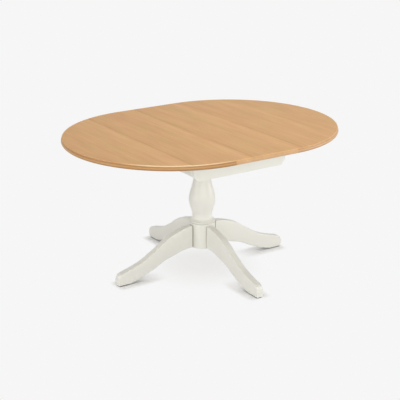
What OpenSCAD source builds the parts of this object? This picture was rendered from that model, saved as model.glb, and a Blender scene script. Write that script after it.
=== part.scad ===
// Extending dining table on a turned pedestal.
// Two half-round tops slide apart on a box frame and a loose leaf fills the gap.
// The origin is on the floor under the pedestal, X runs along the table, Z is up.
// The halves are drawn apart with the leaf in place.

/* [Table] */
// Height of the table top over the floor
table_h = 750; // [700:1:800]
// Diameter of the round top when the leaf is out
table_d = 1110; // [1000:1:1200]
// Width of the loose leaf along the table
leaf_w = 360; // [280:1:380]

/* [Top] */
// Thickness of the halves and the leaf
top_t = 25; // [23:0.5:32]
// Radius of the small round on the upper edge
arris_r = 3.5; // [2:0.5:5]
// Distance that the upper edge stands back from the moulding
edge_step = 3.5; // [2:0.5:5]
// Radius of the moulding under the upper edge
bulge_r = 11; // [10:0.5:13]
// Height of the moulding over the underside
bulge_h = 17; // [15:0.5:18]
// Width of the shallow grooves where boards meet
board_groove_w = 2.4; // [1:0.1:4]
// Distance from the left half's joint to its board groove
left_board_offset = 209; // [150:1:260]
// Distance from the right half's joint to its board groove
right_board_offset = 32; // [20:1:120]
// Distance from the middle of the leaf to its board groove
leaf_board_offset = 84; // [20:1:120]

/* [Edge dowels] */
// Diameter of the dowels that line up the joints
dowel_d = 8; // [6:0.5:10]
// Length of a dowel that stands out of its edge
dowel_out = 12; // [8:1:16]
// Length of a dowel that is glued in
dowel_in = 20; // [15:1:30]

/* [Frame] */
// Length of the front and back rails
frame_l = 546; // [530:1:640]
// Width over the front and back rails
frame_w = 678; // [600:1:700]
// Height of the rails
rail_h = 120; // [110:1:130]
// Thickness of the rails
rail_t = 24; // [20:1:28]
// Gap between the rails and the table top
rail_gap = 2; // [1:0.5:4]
// Distance from the rail's end to the end rail
end_rail_inset = 38; // [32:1:44]
// Length of the sloped cut on the rail's lower corner
rail_cut_l = 24; // [10:1:30]
// Height of the sloped cut on the rail's lower corner
rail_cut_h = 27; // [10:1:40]
// Width of a cross rail
cross_w = 60; // [50:1:70]
// Height of a cross rail
cross_h = 40; // [34:1:44]
// Half of the space between the cross rails
cross_half_gap = 40; // [36:1:50]
// Side of a corner block
corner_block_w = 46; // [36:1:60]

/* [Slides] */
// Height of a sliding bearer
bearer_h = 45; // [42:1:50]
// Thickness of a sliding bearer
bearer_t = 23; // [20:1:26]
// Length of a bearer that is screwed under its half
bearer_seat = 270; // [230:1:300]
// Thickness of the fixed runner between the bearers
runner_t = 16; // [14:1:22]
// Thickness of the tongues that carry the bearers
tongue_h = 8; // [6:0.5:9]
// Width that a tongue stands out
tongue_w = 6; // [4:0.5:7]
// Space on each side of a sliding bearer
run_gap = 0.3; // [0.2:0.05:0.5]
// Space that is left at a bearer's end when the table is closed
stop_gap = 3; // [2:0.5:6]

/* [Equaliser] */
// Tooth module of the gear and the racks
gear_module = 3; // [2.5:0.25:3.5]
// Number of teeth on the gear
gear_teeth = 16; // [16:2:20]
// Thickness of the gear
gear_t = 10; // [8:0.5:12]
// Play between the teeth
gear_backlash = 0.5; // [0.3:0.05:0.8]
// Height of a rack bar
rack_h = 12; // [11:0.5:13]
// Width of a rack bar behind its pitch line
rack_w = 13; // [12:0.5:16]
// Length of a rack bar that is screwed under its half
rack_seat = 110; // [90:1:130]
// Length of a rack bar past the gear
rack_over = 24; // [20:1:30]
// Diameter of the gear's pin
pin_d = 10; // [8:0.5:12]
// Space between the gear and its pin, measured on the radius
pin_gap = 0.05; // [0.02:0.01:0.1]

/* [Pedestal] */
// Radius of the plain neck at the column's top
neck_r = 44; // [40:0.5:50]
// Radius of the vase at its widest
vase_r = 69.5; // [62:0.5:72]
// Radius of the hub that the legs are bolted to
hub_r = 68; // [64:0.5:74]
// Height of the hub's underside over the floor
hub_bottom = 117; // [110:1:130]
// Height of the hub's upper edge over the floor
hub_top = 251; // [240:1:256]
// Radius of the round on the hub's upper edge
hub_edge_r = 4; // [2:0.5:6]
// Height of the shadow groove over the hub
hub_groove_h = 2.5; // [1:0.5:4]
// Depth of the shadow groove over the hub
hub_groove_d = 3; // [1:0.5:5]
// Half width of the square pocket in the hub
pocket_half = 35; // [32:0.5:38]
// Height of the pocket over the hub's underside
pocket_h = 130; // [120:1:140]
// Radius of the cover under the hub
cover_r = 60; // [56:0.5:62]
// Thickness of the cover under the hub
cover_t = 6; // [4:0.5:9]
// Space round the cover
cover_gap = 0.3; // [0.2:0.05:0.6]

/* [Legs] */
// Distance from the pedestal's axis to the toe
leg_reach = 519; // [470:1:540]
// Height of the leg's top over the floor
leg_top = 242; // [234:1:252]
// Thickness of a leg
leg_t = 38; // [34:1:44]
// Radius of the leg's rounded edges
leg_edge_r = 5.5; // [4:0.5:10]
// Width of the shadow gap between leg and hub
reveal_w = 6; // [3:0.5:7]
// Depth of the shadow gap between leg and hub
reveal_d = 4.5; // [1:0.5:5]
// Thickness of the pad under each foot
glide_h = 4; // [3:0.5:8]
// Width of the pad under each foot
glide_w = 26; // [20:1:30]
// Length of the pad under each foot
glide_l = 60; // [40:1:62]
// Distance from the toe to the pad
glide_inset = 6; // [4:0.5:12]

/* [Hardware] */
// Diameter of the studs that hold the legs
stud_d = 8; // [6:0.5:10]
// Length of a stud inside its leg
stud_in_leg = 58; // [40:1:70]
// Height of the lower studs over the hub's underside
stud_low = 30; // [26:1:36]
// Height of the upper studs over the hub's underside
stud_high = 96; // [86:1:104]
// Diameter of the stud's washer
washer_d = 20; // [16:0.5:24]
// Thickness of the stud's washer
washer_t = 1.6; // [1:0.1:2.5]
// Width over the nut's corners
nut_d = 15; // [12:0.5:17]
// Thickness of the nut
nut_t = 6.5; // [5:0.5:8]
// Thickness of the steel plate on the column
plate_t = 5; // [4:0.5:8]
// Length of the steel plate along the table
plate_l = 190; // [180:1:200]
// Width of the steel plate across the table
plate_w = 140; // [120:1:160]
// Diameter of the bolts that hold the column
bolt_d = 8; // [6:0.5:10]
// Length of the bolts inside the column
bolt_l = 60; // [40:1:80]
// Diameter of the wood screws
screw_d = 4; // [3:0.5:5]
// Diameter of the wood screws' heads
screw_head_d = 8; // [7:0.5:9]
// Length of a wood screw in the piece that it holds on to
screw_bite = 15; // [10:0.5:17]

/* [Hidden] */
$fn = 96;

// How far a cut runs past the face that it starts from
cut = 1;

oak = "#D2A87B";
oak_edge = "#C3905A";
cream = "#E8E6DB";
beech = "#D9B98C";
steel = "#A9ABAE";
dark_pad = "#4A4642";

// Heights
top_under = table_h - top_t;
rail_top = top_under - rail_gap;
rail_bottom = rail_top - rail_h;
bearer_bottom = top_under - bearer_h;
plate_lift = 3;
plate_bottom = rail_bottom + plate_lift;
cross_bottom = plate_bottom + plate_t;
cross_top = cross_bottom + cross_h;
corner_block_bottom = rail_bottom + plate_lift;
corner_block_room = 3;
corner_block_h = cross_top - corner_block_room - corner_block_bottom;
rack_bottom = top_under - rack_h;
pin_head_h = 3.5;
pin_head_gap = 0.3;
pin_top_gap = 1.2;
gear_top = top_under - pin_top_gap - pin_head_h - pin_head_gap;
gear_bottom = gear_top - gear_t;
pinion_washer_t = 2;
bridge_top = gear_bottom - pinion_washer_t;

// Places along the table
travel = leaf_w / 2;
end_rail_out = frame_l / 2 - end_rail_inset;
end_rail_in = end_rail_out - rail_t;
bearer_inner_end = end_rail_in - stop_gap - travel;
bearer_l = travel + bearer_seat + bearer_inner_end;

// Places across the table, as distances from the middle line
rail_in = frame_w / 2 - rail_t;
outer_lane_out = rail_in - run_gap;
outer_lane_in = outer_lane_out - bearer_t;
runner_out = outer_lane_in - run_gap;
runner_in = runner_out - runner_t;
inner_lane_out = runner_in - run_gap;
inner_lane_in = inner_lane_out - bearer_t;

// The tongues lie at half of the bearers' height, each in a groove with room around it
tongue_z = bearer_bottom + bearer_h / 2;
tongue_room = 0.4;

pi_value = 3.14159265;
pitch_r = gear_module * gear_teeth / 2;
tooth_pitch = pi_value * gear_module;
addendum_share = 0.9;
dedendum_share = 1.25;
pressure_angle = 20;
addendum = addendum_share * gear_module;
dedendum = dedendum_share * gear_module;

// Points along a smooth curve through a table of points, a few for each stretch
function curve_point(a, b, c, d, t) =
    0.5 * (2 * b + (c - a) * t + (2 * a - 5 * b + 4 * c - d) * t * t
    + (3 * b - a - 3 * c + d) * t * t * t);
function smooth(points, steps) = [
    for (i = [0 : len(points) - 2], j = [0 : steps - 1])
        curve_point(points[max(i - 1, 0)], points[i], points[i + 1],
            points[min(i + 2, len(points) - 1)], j / steps),
    points[len(points) - 1]
];

// Fasteners

// A countersunk wood screw that points up, with its head's flat face at the origin
module wood_screw(length, shaft_d = screw_d, head_d = screw_head_d) {
    rotate_extrude($fn = 32)
        polygon([
            [0, 0], [head_d / 2, 0], [shaft_d / 2, (head_d - shaft_d) / 2],
            [shaft_d / 2, length - shaft_d], [0, length]
        ]);
}

// Table top

bulge_z_share = 0.86;
bulge_z = bulge_r * bulge_z_share;
bulge_steps = 5;
arris_steps = 4;

// The moulded edge as seen in a cut, from the underside up: a full moulding, a small
// step over it, and a rounded upper edge. The first number is the distance outwards.
function edge_points(reach) =
    let (
        low = -asin(bulge_z / bulge_r),
        high = asin((bulge_h - bulge_z) / bulge_r),
        wall = reach - edge_step
    )
    concat(
        [for (i = [0 : bulge_steps - 1])
            let (a = low * (1 - i / bulge_steps))
            [reach - bulge_r + bulge_r * cos(a), bulge_z + bulge_r * sin(a)]],
        [for (i = [0 : bulge_steps])
            let (a = high * i / bulge_steps)
            [reach - bulge_r + bulge_r * cos(a), bulge_z + bulge_r * sin(a)]],
        [for (i = [0 : arris_steps])
            let (a = 90 * i / arris_steps)
            [wall - arris_r + arris_r * cos(a), top_t - arris_r + arris_r * sin(a)]]
    );

// A shallow groove across the top where two boards meet
module board_groove(x) {
    translate([x, 0, table_h])
        rotate([90, 45, 0])
            cube([board_groove_w / sqrt(2), board_groove_w / sqrt(2), table_d + cut], center = true);
}

edge_dowel_shares = [-0.38, -0.13, 0.13, 0.38];
// Room round a dowel in its socket, and past its end
dowel_room = 0.2;
dowel_end_room = 2;

// Dowels in a joint at x, from `back` before it to `front` past it
module dowel_row(x, back, front, diameter) {
    for (share = edge_dowel_shares)
        translate([x - back, share * table_d, table_h - top_t / 2])
            rotate([0, 90, 0])
                cylinder(h = back + front, d = diameter, $fn = 24);
}

// Half a round top with its straight edge at x = 0, lying towards -X
module half_disc() {
    translate([0, 0, top_under])
        rotate([0, 0, 90])
            rotate_extrude(angle = 180, $fn = 180)
                polygon(concat([[0, 0]], edge_points(table_d / 2), [[0, top_t]]));
}

module left_half_top() {
    color(oak)
        difference() {
            translate([-travel, 0, 0])
                half_disc();
            board_groove(-travel - left_board_offset);
            dowel_row(-travel, dowel_in, cut, dowel_d);
            bearer_screw_row(-1);
            rack_screw_row(-1);
        }
}

module right_half_top() {
    color(oak)
        difference() {
            translate([travel, 0, 0])
                rotate([0, 0, 180])
                    half_disc();
            board_groove(travel + right_board_offset);
            dowel_row(travel, cut, dowel_out + dowel_end_room, dowel_d + 2 * dowel_room);
            bearer_screw_row(1);
            rack_screw_row(1);
        }
}

module centre_leaf() {
    section = edge_points(table_d / 2);
    back_section = [for (i = [len(section) - 1 : -1 : 0]) [-section[i][0], section[i][1]]];
    color(oak)
        difference() {
            translate([-travel, 0, top_under])
                rotate([90, 0, 90])
                    linear_extrude(leaf_w)
                        polygon(concat(section, back_section));
            board_groove(-leaf_board_offset);
            dowel_row(-travel, cut, dowel_out + dowel_end_room, dowel_d + 2 * dowel_room);
            dowel_row(travel, dowel_in, cut, dowel_d);
        }
}

module left_edge_dowels() {
    color(beech)
        dowel_row(-travel, dowel_in, dowel_out, dowel_d);
}

module leaf_dowels() {
    color(beech)
        dowel_row(travel, dowel_in, dowel_out, dowel_d);
}

// Sliding bearers

bearer_nose_l = 30;
bearer_nose_h = 20;
bearer_screw_shares = [0.14, 0.5, 0.86];

// Screws up through the bearers of one half: side is -1 on the left and 1 on the right
module bearer_screw_row(side) {
    lane = side < 0 ? (outer_lane_out + outer_lane_in) / 2 : (inner_lane_out + inner_lane_in) / 2;
    for (y = [-lane, lane], share = bearer_screw_shares)
        translate([side * (travel + share * (bearer_seat - bearer_nose_l)), y, bearer_bottom])
            wood_screw(bearer_h + screw_bite);
}

// A groove along a bearer's face at y, cut towards the given side
module bearer_groove(y, towards) {
    depth = tongue_w + tongue_room;
    translate([0, y + towards * (depth / 2 - cut / 2), tongue_z])
        cube([4 * frame_l, depth + cut, tongue_h + 2 * tongue_room], center = true);
}

// One bearer: side is -1 on the left and 1 on the right, row is -1 in front and 1 at the back
module bearer(side, row) {
    low = side < 0 ? outer_lane_in : inner_lane_in;
    high = low + bearer_t;
    color(beech)
        difference() {
            translate([0, row > 0 ? high : -low, 0])
                rotate([90, 0, 0])
                    linear_extrude(bearer_t)
                        polygon([
                            [-side * bearer_inner_end, bearer_bottom],
                            [-side * bearer_inner_end, top_under],
                            [side * (travel + bearer_seat), top_under],
                            [side * (travel + bearer_seat), bearer_bottom + bearer_nose_h],
                            [side * (travel + bearer_seat - bearer_nose_l), bearer_bottom]
                        ]);
            bearer_groove(row * high, -row);
            if (side < 0)
                bearer_groove(row * low, row);
            bearer_screw_row(side);
        }
}

module left_front_bearer() { bearer(-1, -1); }
module left_back_bearer() { bearer(-1, 1); }
module right_front_bearer() { bearer(1, -1); }
module right_back_bearer() { bearer(1, 1); }

module left_bearer_screws() { color(steel) bearer_screw_row(-1); }
module right_bearer_screws() { color(steel) bearer_screw_row(1); }

// Fixed runners and tongues

// A runner stands on the cross rails between the end rails, with a tongue on each side
module fixed_runner(row) {
    middle = row * (runner_out + runner_in) / 2;
    color(beech)
        difference() {
            union() {
                translate([-end_rail_in, middle - runner_t / 2, cross_top])
                    cube([2 * end_rail_in, runner_t, rail_top - cross_top]);
                translate([-end_rail_in, middle - runner_t / 2 - tongue_w, tongue_z - tongue_h / 2])
                    cube([2 * end_rail_in, runner_t + 2 * tongue_w, tongue_h]);
            }
            cross_screw_row();
        }
}

module front_fixed_runner() { fixed_runner(-1); }
module back_fixed_runner() { fixed_runner(1); }

tongue_screw_shares = [-0.8, -0.27, 0.27, 0.8];
tongue_screw_l = tongue_w + screw_bite;
tongue_screw_d = 3;
tongue_screw_head_d = 5.5;

module tongue_screw_row(row) {
    for (share = tongue_screw_shares)
        translate([share * end_rail_in, row * (rail_in - tongue_w), tongue_z])
            rotate([-row * 90, 0, 0])
                wood_screw(tongue_screw_l, tongue_screw_d, tongue_screw_head_d);
}

// A strip on the inner face of the front or back rail
module rail_tongue(row) {
    color(beech)
        difference() {
            translate([0, row * (rail_in - tongue_w / 2), tongue_z])
                cube([2 * end_rail_in, tongue_w, tongue_h], center = true);
            tongue_screw_row(row);
        }
}

module front_rail_tongue() { rail_tongue(-1); }
module back_rail_tongue() { rail_tongue(1); }

module tongue_screws() {
    color(steel) {
        tongue_screw_row(-1);
        tongue_screw_row(1);
    }
}

// Frame

// The front or back rail, with its lower corners cut off
module long_rail(row) {
    half = frame_l / 2;
    color(cream)
        difference() {
            translate([0, row > 0 ? frame_w / 2 : -rail_in, 0])
                rotate([90, 0, 0])
                    linear_extrude(rail_t)
                        polygon([
                            [-half, rail_top], [-half, rail_bottom + rail_cut_h],
                            [-half + rail_cut_l, rail_bottom], [half - rail_cut_l, rail_bottom],
                            [half, rail_bottom + rail_cut_h], [half, rail_top]
                        ]);
            tongue_screw_row(row);
            corner_screw_set();
        }
}

module front_rail() { long_rail(-1); }
module back_rail() { long_rail(1); }

// Room round a rack in its notch
notch_room = 1;

// An end rail, notched for the two bearers and the rack of its own side
module end_rail(side) {
    low = side < 0 ? outer_lane_in - run_gap : inner_lane_in - run_gap;
    high = side < 0 ? rail_in : inner_lane_out + run_gap;
    middle = side * (end_rail_in + rail_t / 2);
    rack_notch_w = rack_w + addendum + 2 * notch_room;
    rack_middle = side * (pitch_r + (rack_w - addendum) / 2);
    color(cream)
        difference() {
            translate([side > 0 ? end_rail_in : -end_rail_out, -rail_in, rail_bottom])
                cube([rail_t, 2 * rail_in, rail_h]);
            for (row = [-1, 1])
                translate([middle, row * (low + high) / 2, bearer_bottom - run_gap + rail_h / 2])
                    cube([rail_t + 2 * cut, high - low, rail_h], center = true);
            translate([middle, rack_middle, rack_bottom - notch_room + rail_h / 2])
                cube([rail_t + 2 * cut, rack_notch_w, rail_h], center = true);
            corner_screw_set();
        }
}

module left_end_rail() { end_rail(-1); }
module right_end_rail() { end_rail(1); }

// A cross rail carries the steel plate below and the runners and the bridge above
module cross_rail(side) {
    color(beech)
        difference() {
            translate([side > 0 ? cross_half_gap : -cross_half_gap - cross_w, -rail_in, cross_bottom])
                cube([cross_w, 2 * rail_in, cross_h]);
            plate_screw_set();
            cross_screw_row();
        }
}

module left_cross_rail() { cross_rail(-1); }
module right_cross_rail() { cross_rail(1); }

// Screws up through the cross rails into the runners and the bridge
bridge_half_w = 42;
bridge_screw_y_share = 0.6;
cross_screw_x = cross_half_gap + cross_w / 2;

module cross_screw_row() {
    runner_y = (runner_out + runner_in) / 2;
    bridge_y = bridge_screw_y_share * bridge_half_w;
    for (x = [-cross_screw_x, cross_screw_x], y = [-runner_y, -bridge_y, bridge_y, runner_y])
        translate([x, y, cross_bottom])
            wood_screw(cross_h + screw_bite);
}

module cross_rail_screws() { color(steel) cross_screw_row(); }

// A block glued and screwed into each lower corner of the frame
corner_screw_share = 0.55;
corner_screw_z = corner_block_bottom + corner_block_h / 2;
// Height from the middle of a block to each of its screws
corner_screw_step = 6;

module corner_block(side, row) {
    color(beech)
        difference() {
            translate([side * end_rail_in, row * rail_in, corner_block_bottom])
                linear_extrude(corner_block_h)
                    polygon([[0, 0], [-side * corner_block_w, 0], [0, -row * corner_block_w]]);
            corner_screw_set();
        }
}

// Two screws in each block: one into the long rail and one into the end rail
module corner_screw_set() {
    reach = corner_block_w * corner_screw_share;
    depth = corner_block_w - reach - screw_head_d / 2;
    step = corner_screw_step;
    for (side = [-1, 1], row = [-1, 1]) {
        translate([side * (end_rail_in - reach), row * (rail_in - depth), corner_screw_z + step])
            rotate([-row * 90, 0, 0])
                wood_screw(depth + screw_bite);
        translate([side * (end_rail_in - depth), row * (rail_in - reach), corner_screw_z - step])
            rotate([0, side * 90, 0])
                wood_screw(depth + screw_bite);
    }
}

module front_left_corner_block() { corner_block(-1, -1); }
module front_right_corner_block() { corner_block(1, -1); }
module back_left_corner_block() { corner_block(-1, 1); }
module back_right_corner_block() { corner_block(1, 1); }

module corner_screws() { color(steel) corner_screw_set(); }

// Equaliser: one gear and two racks keep both halves moving alike

module pinion_bridge() {
    length = 2 * (cross_half_gap + cross_w);
    color(beech)
        difference() {
            translate([-length / 2, -bridge_half_w, cross_top])
                cube([length, 2 * bridge_half_w, bridge_top - cross_top]);
            cross_screw_row();
            translate([0, 0, bridge_top - pin_thread_l])
                cylinder(h = pin_thread_l + cut, d = pin_thread_d, $fn = 32);
        }
}

pin_thread_d = 6;
pin_thread_l = 30;
pin_head_d = 18;
pinion_washer_d = 26;

module pinion_washer() {
    color(steel)
        translate([0, 0, bridge_top])
            difference() {
                cylinder(h = pinion_washer_t, d = pinion_washer_d, $fn = 48);
                translate([0, 0, -cut])
                    cylinder(h = pinion_washer_t + 2 * cut, d = pin_d + 2 * pin_gap, $fn = 48);
            }
}

// A shoulder screw: head, smooth shoulder for the gear, and thread in the bridge
module pinion_pin() {
    color(steel)
        union() {
            translate([0, 0, bridge_top - pin_thread_l])
                cylinder(h = pin_thread_l, d = pin_thread_d, $fn = 32);
            translate([0, 0, bridge_top])
                cylinder(h = gear_top + pin_head_gap - bridge_top, d = pin_d, $fn = 48);
            translate([0, 0, gear_top + pin_head_gap])
                cylinder(h = pin_head_h, d = pin_head_d, $fn = 48);
        }
}

base_r = pitch_r * cos(pressure_angle);
root_r = pitch_r - dedendum;
tip_r = pitch_r + addendum;
flank_steps = 5;

function radians(a) = a * pi_value / 180;
function unwind_at(r) = r <= base_r ? 0 : sqrt(pow(r / base_r, 2) - 1) * 180 / pi_value;
function turn_at(r) = unwind_at(r) - atan(radians(unwind_at(r)));

// Half of a tooth's angle at radius r on an involute flank
half_tooth = 90 / gear_teeth - gear_backlash / 4 / pitch_r * 180 / pi_value;
function flank_angle(r) = half_tooth + turn_at(pitch_r) - turn_at(r);
function polar(r, a) = [r * cos(a), r * sin(a)];
function tooth_points(a) = concat(
    [polar(root_r, a - flank_angle(base_r))],
    [for (i = [0 : flank_steps])
        let (r = base_r + (tip_r - base_r) * i / flank_steps)
        polar(r, a - flank_angle(r))],
    [for (i = [flank_steps : -1 : 0])
        let (r = base_r + (tip_r - base_r) * i / flank_steps)
        polar(r, a + flank_angle(r))],
    [polar(root_r, a + flank_angle(base_r))]
);

// The gear stands with a gap between teeth at each rack
module equaliser_pinion() {
    color(steel)
        translate([0, 0, gear_bottom])
            difference() {
                linear_extrude(gear_t)
                    polygon([
                        for (i = [0 : gear_teeth - 1])
                            each tooth_points(90 + (i + 0.5) * 360 / gear_teeth)
                    ]);
                translate([0, 0, -cut])
                    cylinder(h = gear_t + 2 * cut, d = pin_d + 2 * pin_gap, $fn = 64);
            }
}

// Half widths of a rack tooth at its tip and at its root
rack_half_tooth = tooth_pitch / 4 - gear_backlash / 4;
rack_tip_half = rack_half_tooth - addendum * tan(pressure_angle);
rack_root_half = rack_half_tooth + dedendum * tan(pressure_angle);
rack_l = travel + rack_seat + rack_over;
teeth_before = floor((travel + rack_over) / tooth_pitch);
teeth_past = floor((rack_over - rack_root_half) / tooth_pitch);

rack_screw_shares = [0.2, 0.5, 0.8];

module rack_screw_row(side) {
    y = side * (pitch_r + (rack_w + dedendum) / 2);
    for (share = rack_screw_shares)
        translate([side * (travel + share * rack_seat), y, rack_bottom])
            wood_screw(rack_h + screw_bite);
}

// A rack bar under one half. Its teeth face the gear, and one of them stands beside the gear's middle.
module rack_bar(side) {
    color(steel)
        difference() {
            rotate([0, 0, side < 0 ? 0 : 180])
                translate([0, 0, rack_bottom])
                    linear_extrude(rack_h)
                        polygon(concat(
                            [[-travel - rack_seat, -pitch_r - dedendum],
                             [-travel - rack_seat, -pitch_r - rack_w],
                             [rack_over, -pitch_r - rack_w],
                             [rack_over, -pitch_r - dedendum]],
                            [for (i = [teeth_past : -1 : -teeth_before])
                                each [
                                    [i * tooth_pitch + rack_root_half, -pitch_r - dedendum],
                                    [i * tooth_pitch + rack_tip_half, -pitch_r + addendum],
                                    [i * tooth_pitch - rack_tip_half, -pitch_r + addendum],
                                    [i * tooth_pitch - rack_root_half, -pitch_r - dedendum]
                                ]]
                        ));
            rack_screw_row(side);
        }
}

module left_rack() { rack_bar(-1); }
module right_rack() { rack_bar(1); }
module left_rack_screws() { color(steel) rack_screw_row(-1); }
module right_rack_screws() { color(steel) rack_screw_row(1); }

// Pedestal

ring_step = 0.8;
ring_r = hub_r - ring_step;
ring_bottom = hub_top + hub_groove_h;
column_top = plate_bottom;

// The turned shape over the hub. The first number is the share of the height from the
// ring to the column's top, and the second is the share from the neck's radius to the vase's.
vase_shares = [
    [0.036, 0.55], [0.048, 0.372], [0.068, 0.325], [0.093, 0.315], [0.123, 0.325],
    [0.158, 0.42], [0.197, 0.59], [0.241, 0.78], [0.282, 0.92], [0.33, 1],
    [0.386, 0.955], [0.444, 0.78], [0.5, 0.57], [0.555, 0.36], [0.61, 0.165],
    [0.666, 0.04], [0.737, 0]
];

// The ring's rounded edge between the groove and the vase
ring_h = 8;
ring_steps = 6;

function column_outline() = concat(
    [[0, hub_bottom], [hub_r, hub_bottom]],
    [for (i = [0 : arris_steps])
        let (a = 90 * i / arris_steps)
        [hub_r - hub_edge_r + hub_edge_r * cos(a), hub_top - hub_edge_r + hub_edge_r * sin(a)]],
    [[hub_r - hub_edge_r - hub_groove_d, hub_top], [hub_r - hub_edge_r - hub_groove_d, ring_bottom]],
    [for (i = [0 : ring_steps])
        let (a = -90 + 180 * i / ring_steps)
        [ring_r - ring_h / 2 + ring_h / 2 * cos(a), ring_bottom + ring_h / 2 + ring_h / 2 * sin(a)]],
    [for (point = smooth(vase_shares, 3))
        [neck_r + point[1] * (vase_r - neck_r), ring_bottom + point[0] * (column_top - ring_bottom)]],
    [[neck_r, column_top], [0, column_top]]
);

column_bolt_offset = 24;

// Bolts down through the steel plate into the column
module column_bolt_set(head_d, head_h) {
    for (x = [-1, 1], y = [-1, 1])
        translate([x * column_bolt_offset, y * column_bolt_offset, column_top - bolt_l]) {
            cylinder(h = bolt_l + plate_t, d = bolt_d, $fn = 32);
            translate([0, 0, bolt_l + plate_t])
                cylinder(h = head_h, d = head_d, $fn = 6);
        }
}

bolt_head_d = 14.5;
bolt_head_h = 5.5;

module column_bolts() { color(steel) column_bolt_set(bolt_head_d, bolt_head_h); }

module column() {
    color(cream)
        difference() {
            rotate_extrude($fn = 120)
                polygon(column_outline());
            translate([-pocket_half, -pocket_half, hub_bottom - cut])
                cube([2 * pocket_half, 2 * pocket_half, pocket_h + cut]);
            translate([0, 0, hub_bottom - cut])
                cylinder(h = cover_t + cut, r = cover_r + cover_gap);
            hub_cover_screw_set();
            stud_set();
            column_bolt_set(bolt_head_d, bolt_head_h);
        }
}

cover_screw_r = (pocket_half + cover_r) / 2;
cover_screw_bite = 12;

module hub_cover_screw_set() {
    for (a = [0 : 90 : 270])
        rotate([0, 0, a])
            translate([cover_screw_r, 0, hub_bottom])
                wood_screw(cover_t + cover_screw_bite);
}

module hub_cover_screws() { color(steel) hub_cover_screw_set(); }

module hub_cover() {
    color(beech)
        difference() {
            translate([0, 0, hub_bottom])
                cylinder(h = cover_t, r = cover_r);
            hub_cover_screw_set();
        }
}

plate_screw_y_shares = [-0.4, -0.18, 0.18, 0.4];
plate_screw_bite = 28;

module plate_screw_set() {
    for (x = [-cross_screw_x, cross_screw_x], share = plate_screw_y_shares)
        translate([x + (x > 0 ? 1 : -1) * screw_head_d, share * plate_w, plate_bottom])
            wood_screw(plate_t + plate_screw_bite);
}

module plate_screws() { color(steel) plate_screw_set(); }

module pedestal_plate() {
    color(steel)
        difference() {
            translate([-plate_l / 2, -plate_w / 2, plate_bottom])
                cube([plate_l, plate_w, plate_t]);
            plate_screw_set();
            column_bolt_set(bolt_head_d, bolt_head_h);
        }
}

// Legs

stud_tail = 4.5;
stud_start = pocket_half - washer_t - nut_t - stud_tail;
stud_end = hub_r + stud_in_leg;

// Two studs for each leg, drawn along +X and turned to each leg
module stud_pair() {
    for (z = [hub_bottom + stud_low, hub_bottom + stud_high])
        translate([0, 0, z])
            rotate([0, 90, 0])
                children();
}

module stud_set() {
    for (a = [0 : 90 : 270])
        rotate([0, 0, a])
            stud_pair()
                translate([0, 0, stud_start])
                    cylinder(h = stud_end - stud_start, d = stud_d, $fn = 32);
}

module leg_studs() { color(steel) stud_set(); }

module leg_washers() {
    color(steel)
        for (a = [0 : 90 : 270])
            rotate([0, 0, a])
                stud_pair()
                    translate([0, 0, pocket_half - washer_t])
                        difference() {
                            cylinder(h = washer_t, d = washer_d, $fn = 48);
                            translate([0, 0, -cut])
                                cylinder(h = washer_t + 2 * cut, d = stud_d, $fn = 32);
                        }
}

module leg_nuts() {
    color(steel)
        for (a = [0 : 90 : 270])
            rotate([0, 0, a])
                stud_pair()
                    translate([0, 0, pocket_half - washer_t - nut_t])
                        difference() {
                            cylinder(h = nut_t, d = nut_d, $fn = 6);
                            translate([0, 0, -cut])
                                cylinder(h = nut_t + 2 * cut, d = stud_d, $fn = 32);
                        }
}

// The leg's upper and lower outline, from the hub to the toe. The first number is the
// share of the reach, and the second is the share from the sole to the leg's top.
upper_shares = [
    [0.148, 1], [0.185, 0.99], [0.241, 0.968], [0.289, 0.939], [0.337, 0.905], [0.4, 0.852],
    [0.482, 0.744], [0.56, 0.627], [0.626, 0.542], [0.69, 0.461], [0.75, 0.403],
    [0.82, 0.349], [0.896, 0.3], [0.95, 0.268], [0.985, 0.228], [0.996, 0.16]
];
lower_shares = [
    [0.148, 0.487], [0.185, 0.483], [0.23, 0.475], [0.281, 0.454], [0.33, 0.418], [0.405, 0.374],
    [0.464, 0.336], [0.52, 0.277], [0.578, 0.21], [0.636, 0.16], [0.694, 0.105],
    [0.761, 0.0525], [0.819, 0.019], [0.867, 0], [0.925, 0], [0.99, 0]
];
leg_steps = 3;
round_steps = 3;
toe_round = 2.5;
// Where the leg starts inside the hub, as a share of the hub's radius, before it is hollowed
hidden_share = 0.7;

function leg_point(shares) = [
    shares[0] * leg_reach,
    glide_h + max(shares[1], 0) * (leg_top - glide_h)
];

// One closed ring round the leg between a lower and an upper point, drawn in by `inset`
function leg_ring(low, high, inset) =
    let (
        span = norm(high - low),
        along = (high - low) / span,
        half = leg_t / 2 - inset,
        r = leg_edge_r,
        corners = [
            [half - r, span - inset - r, 0], [r - half, span - inset - r, 90],
            [r - half, inset + r, 180], [half - r, inset + r, 270]
        ]
    )
    [for (corner = corners, k = [0 : round_steps])
        let (
            a = corner[2] + 90 * k / round_steps,
            across = corner[0] + r * cos(a),
            up = corner[1] + r * sin(a),
            place = low + along * up
        )
        [place[0], across, place[1]]];

// Rings at the hub: a narrow neck, a step at the shadow gap, then the full leg to the toe
function leg_rings() =
    let (
        highs = [for (point = smooth(upper_shares, leg_steps)) leg_point(point)],
        lows = [for (point = smooth(lower_shares, leg_steps)) leg_point(point)],
        start = hub_r + reveal_w,
        hidden = hidden_share * hub_r,
        last = len(highs) - 1,
        end = [toe_round, 0]
    )
    concat(
        [leg_ring([hidden, lows[0][1]], [hidden, highs[0][1]], reveal_d),
         leg_ring([start, lows[0][1]], [start, highs[0][1]], reveal_d),
         leg_ring([start, lows[0][1]], [start, highs[0][1]], 0)],
        [for (i = [1 : last]) leg_ring(lows[i], highs[i], 0)],
        [leg_ring(lows[last] + end, highs[last] + end, toe_round)]
    );

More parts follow.
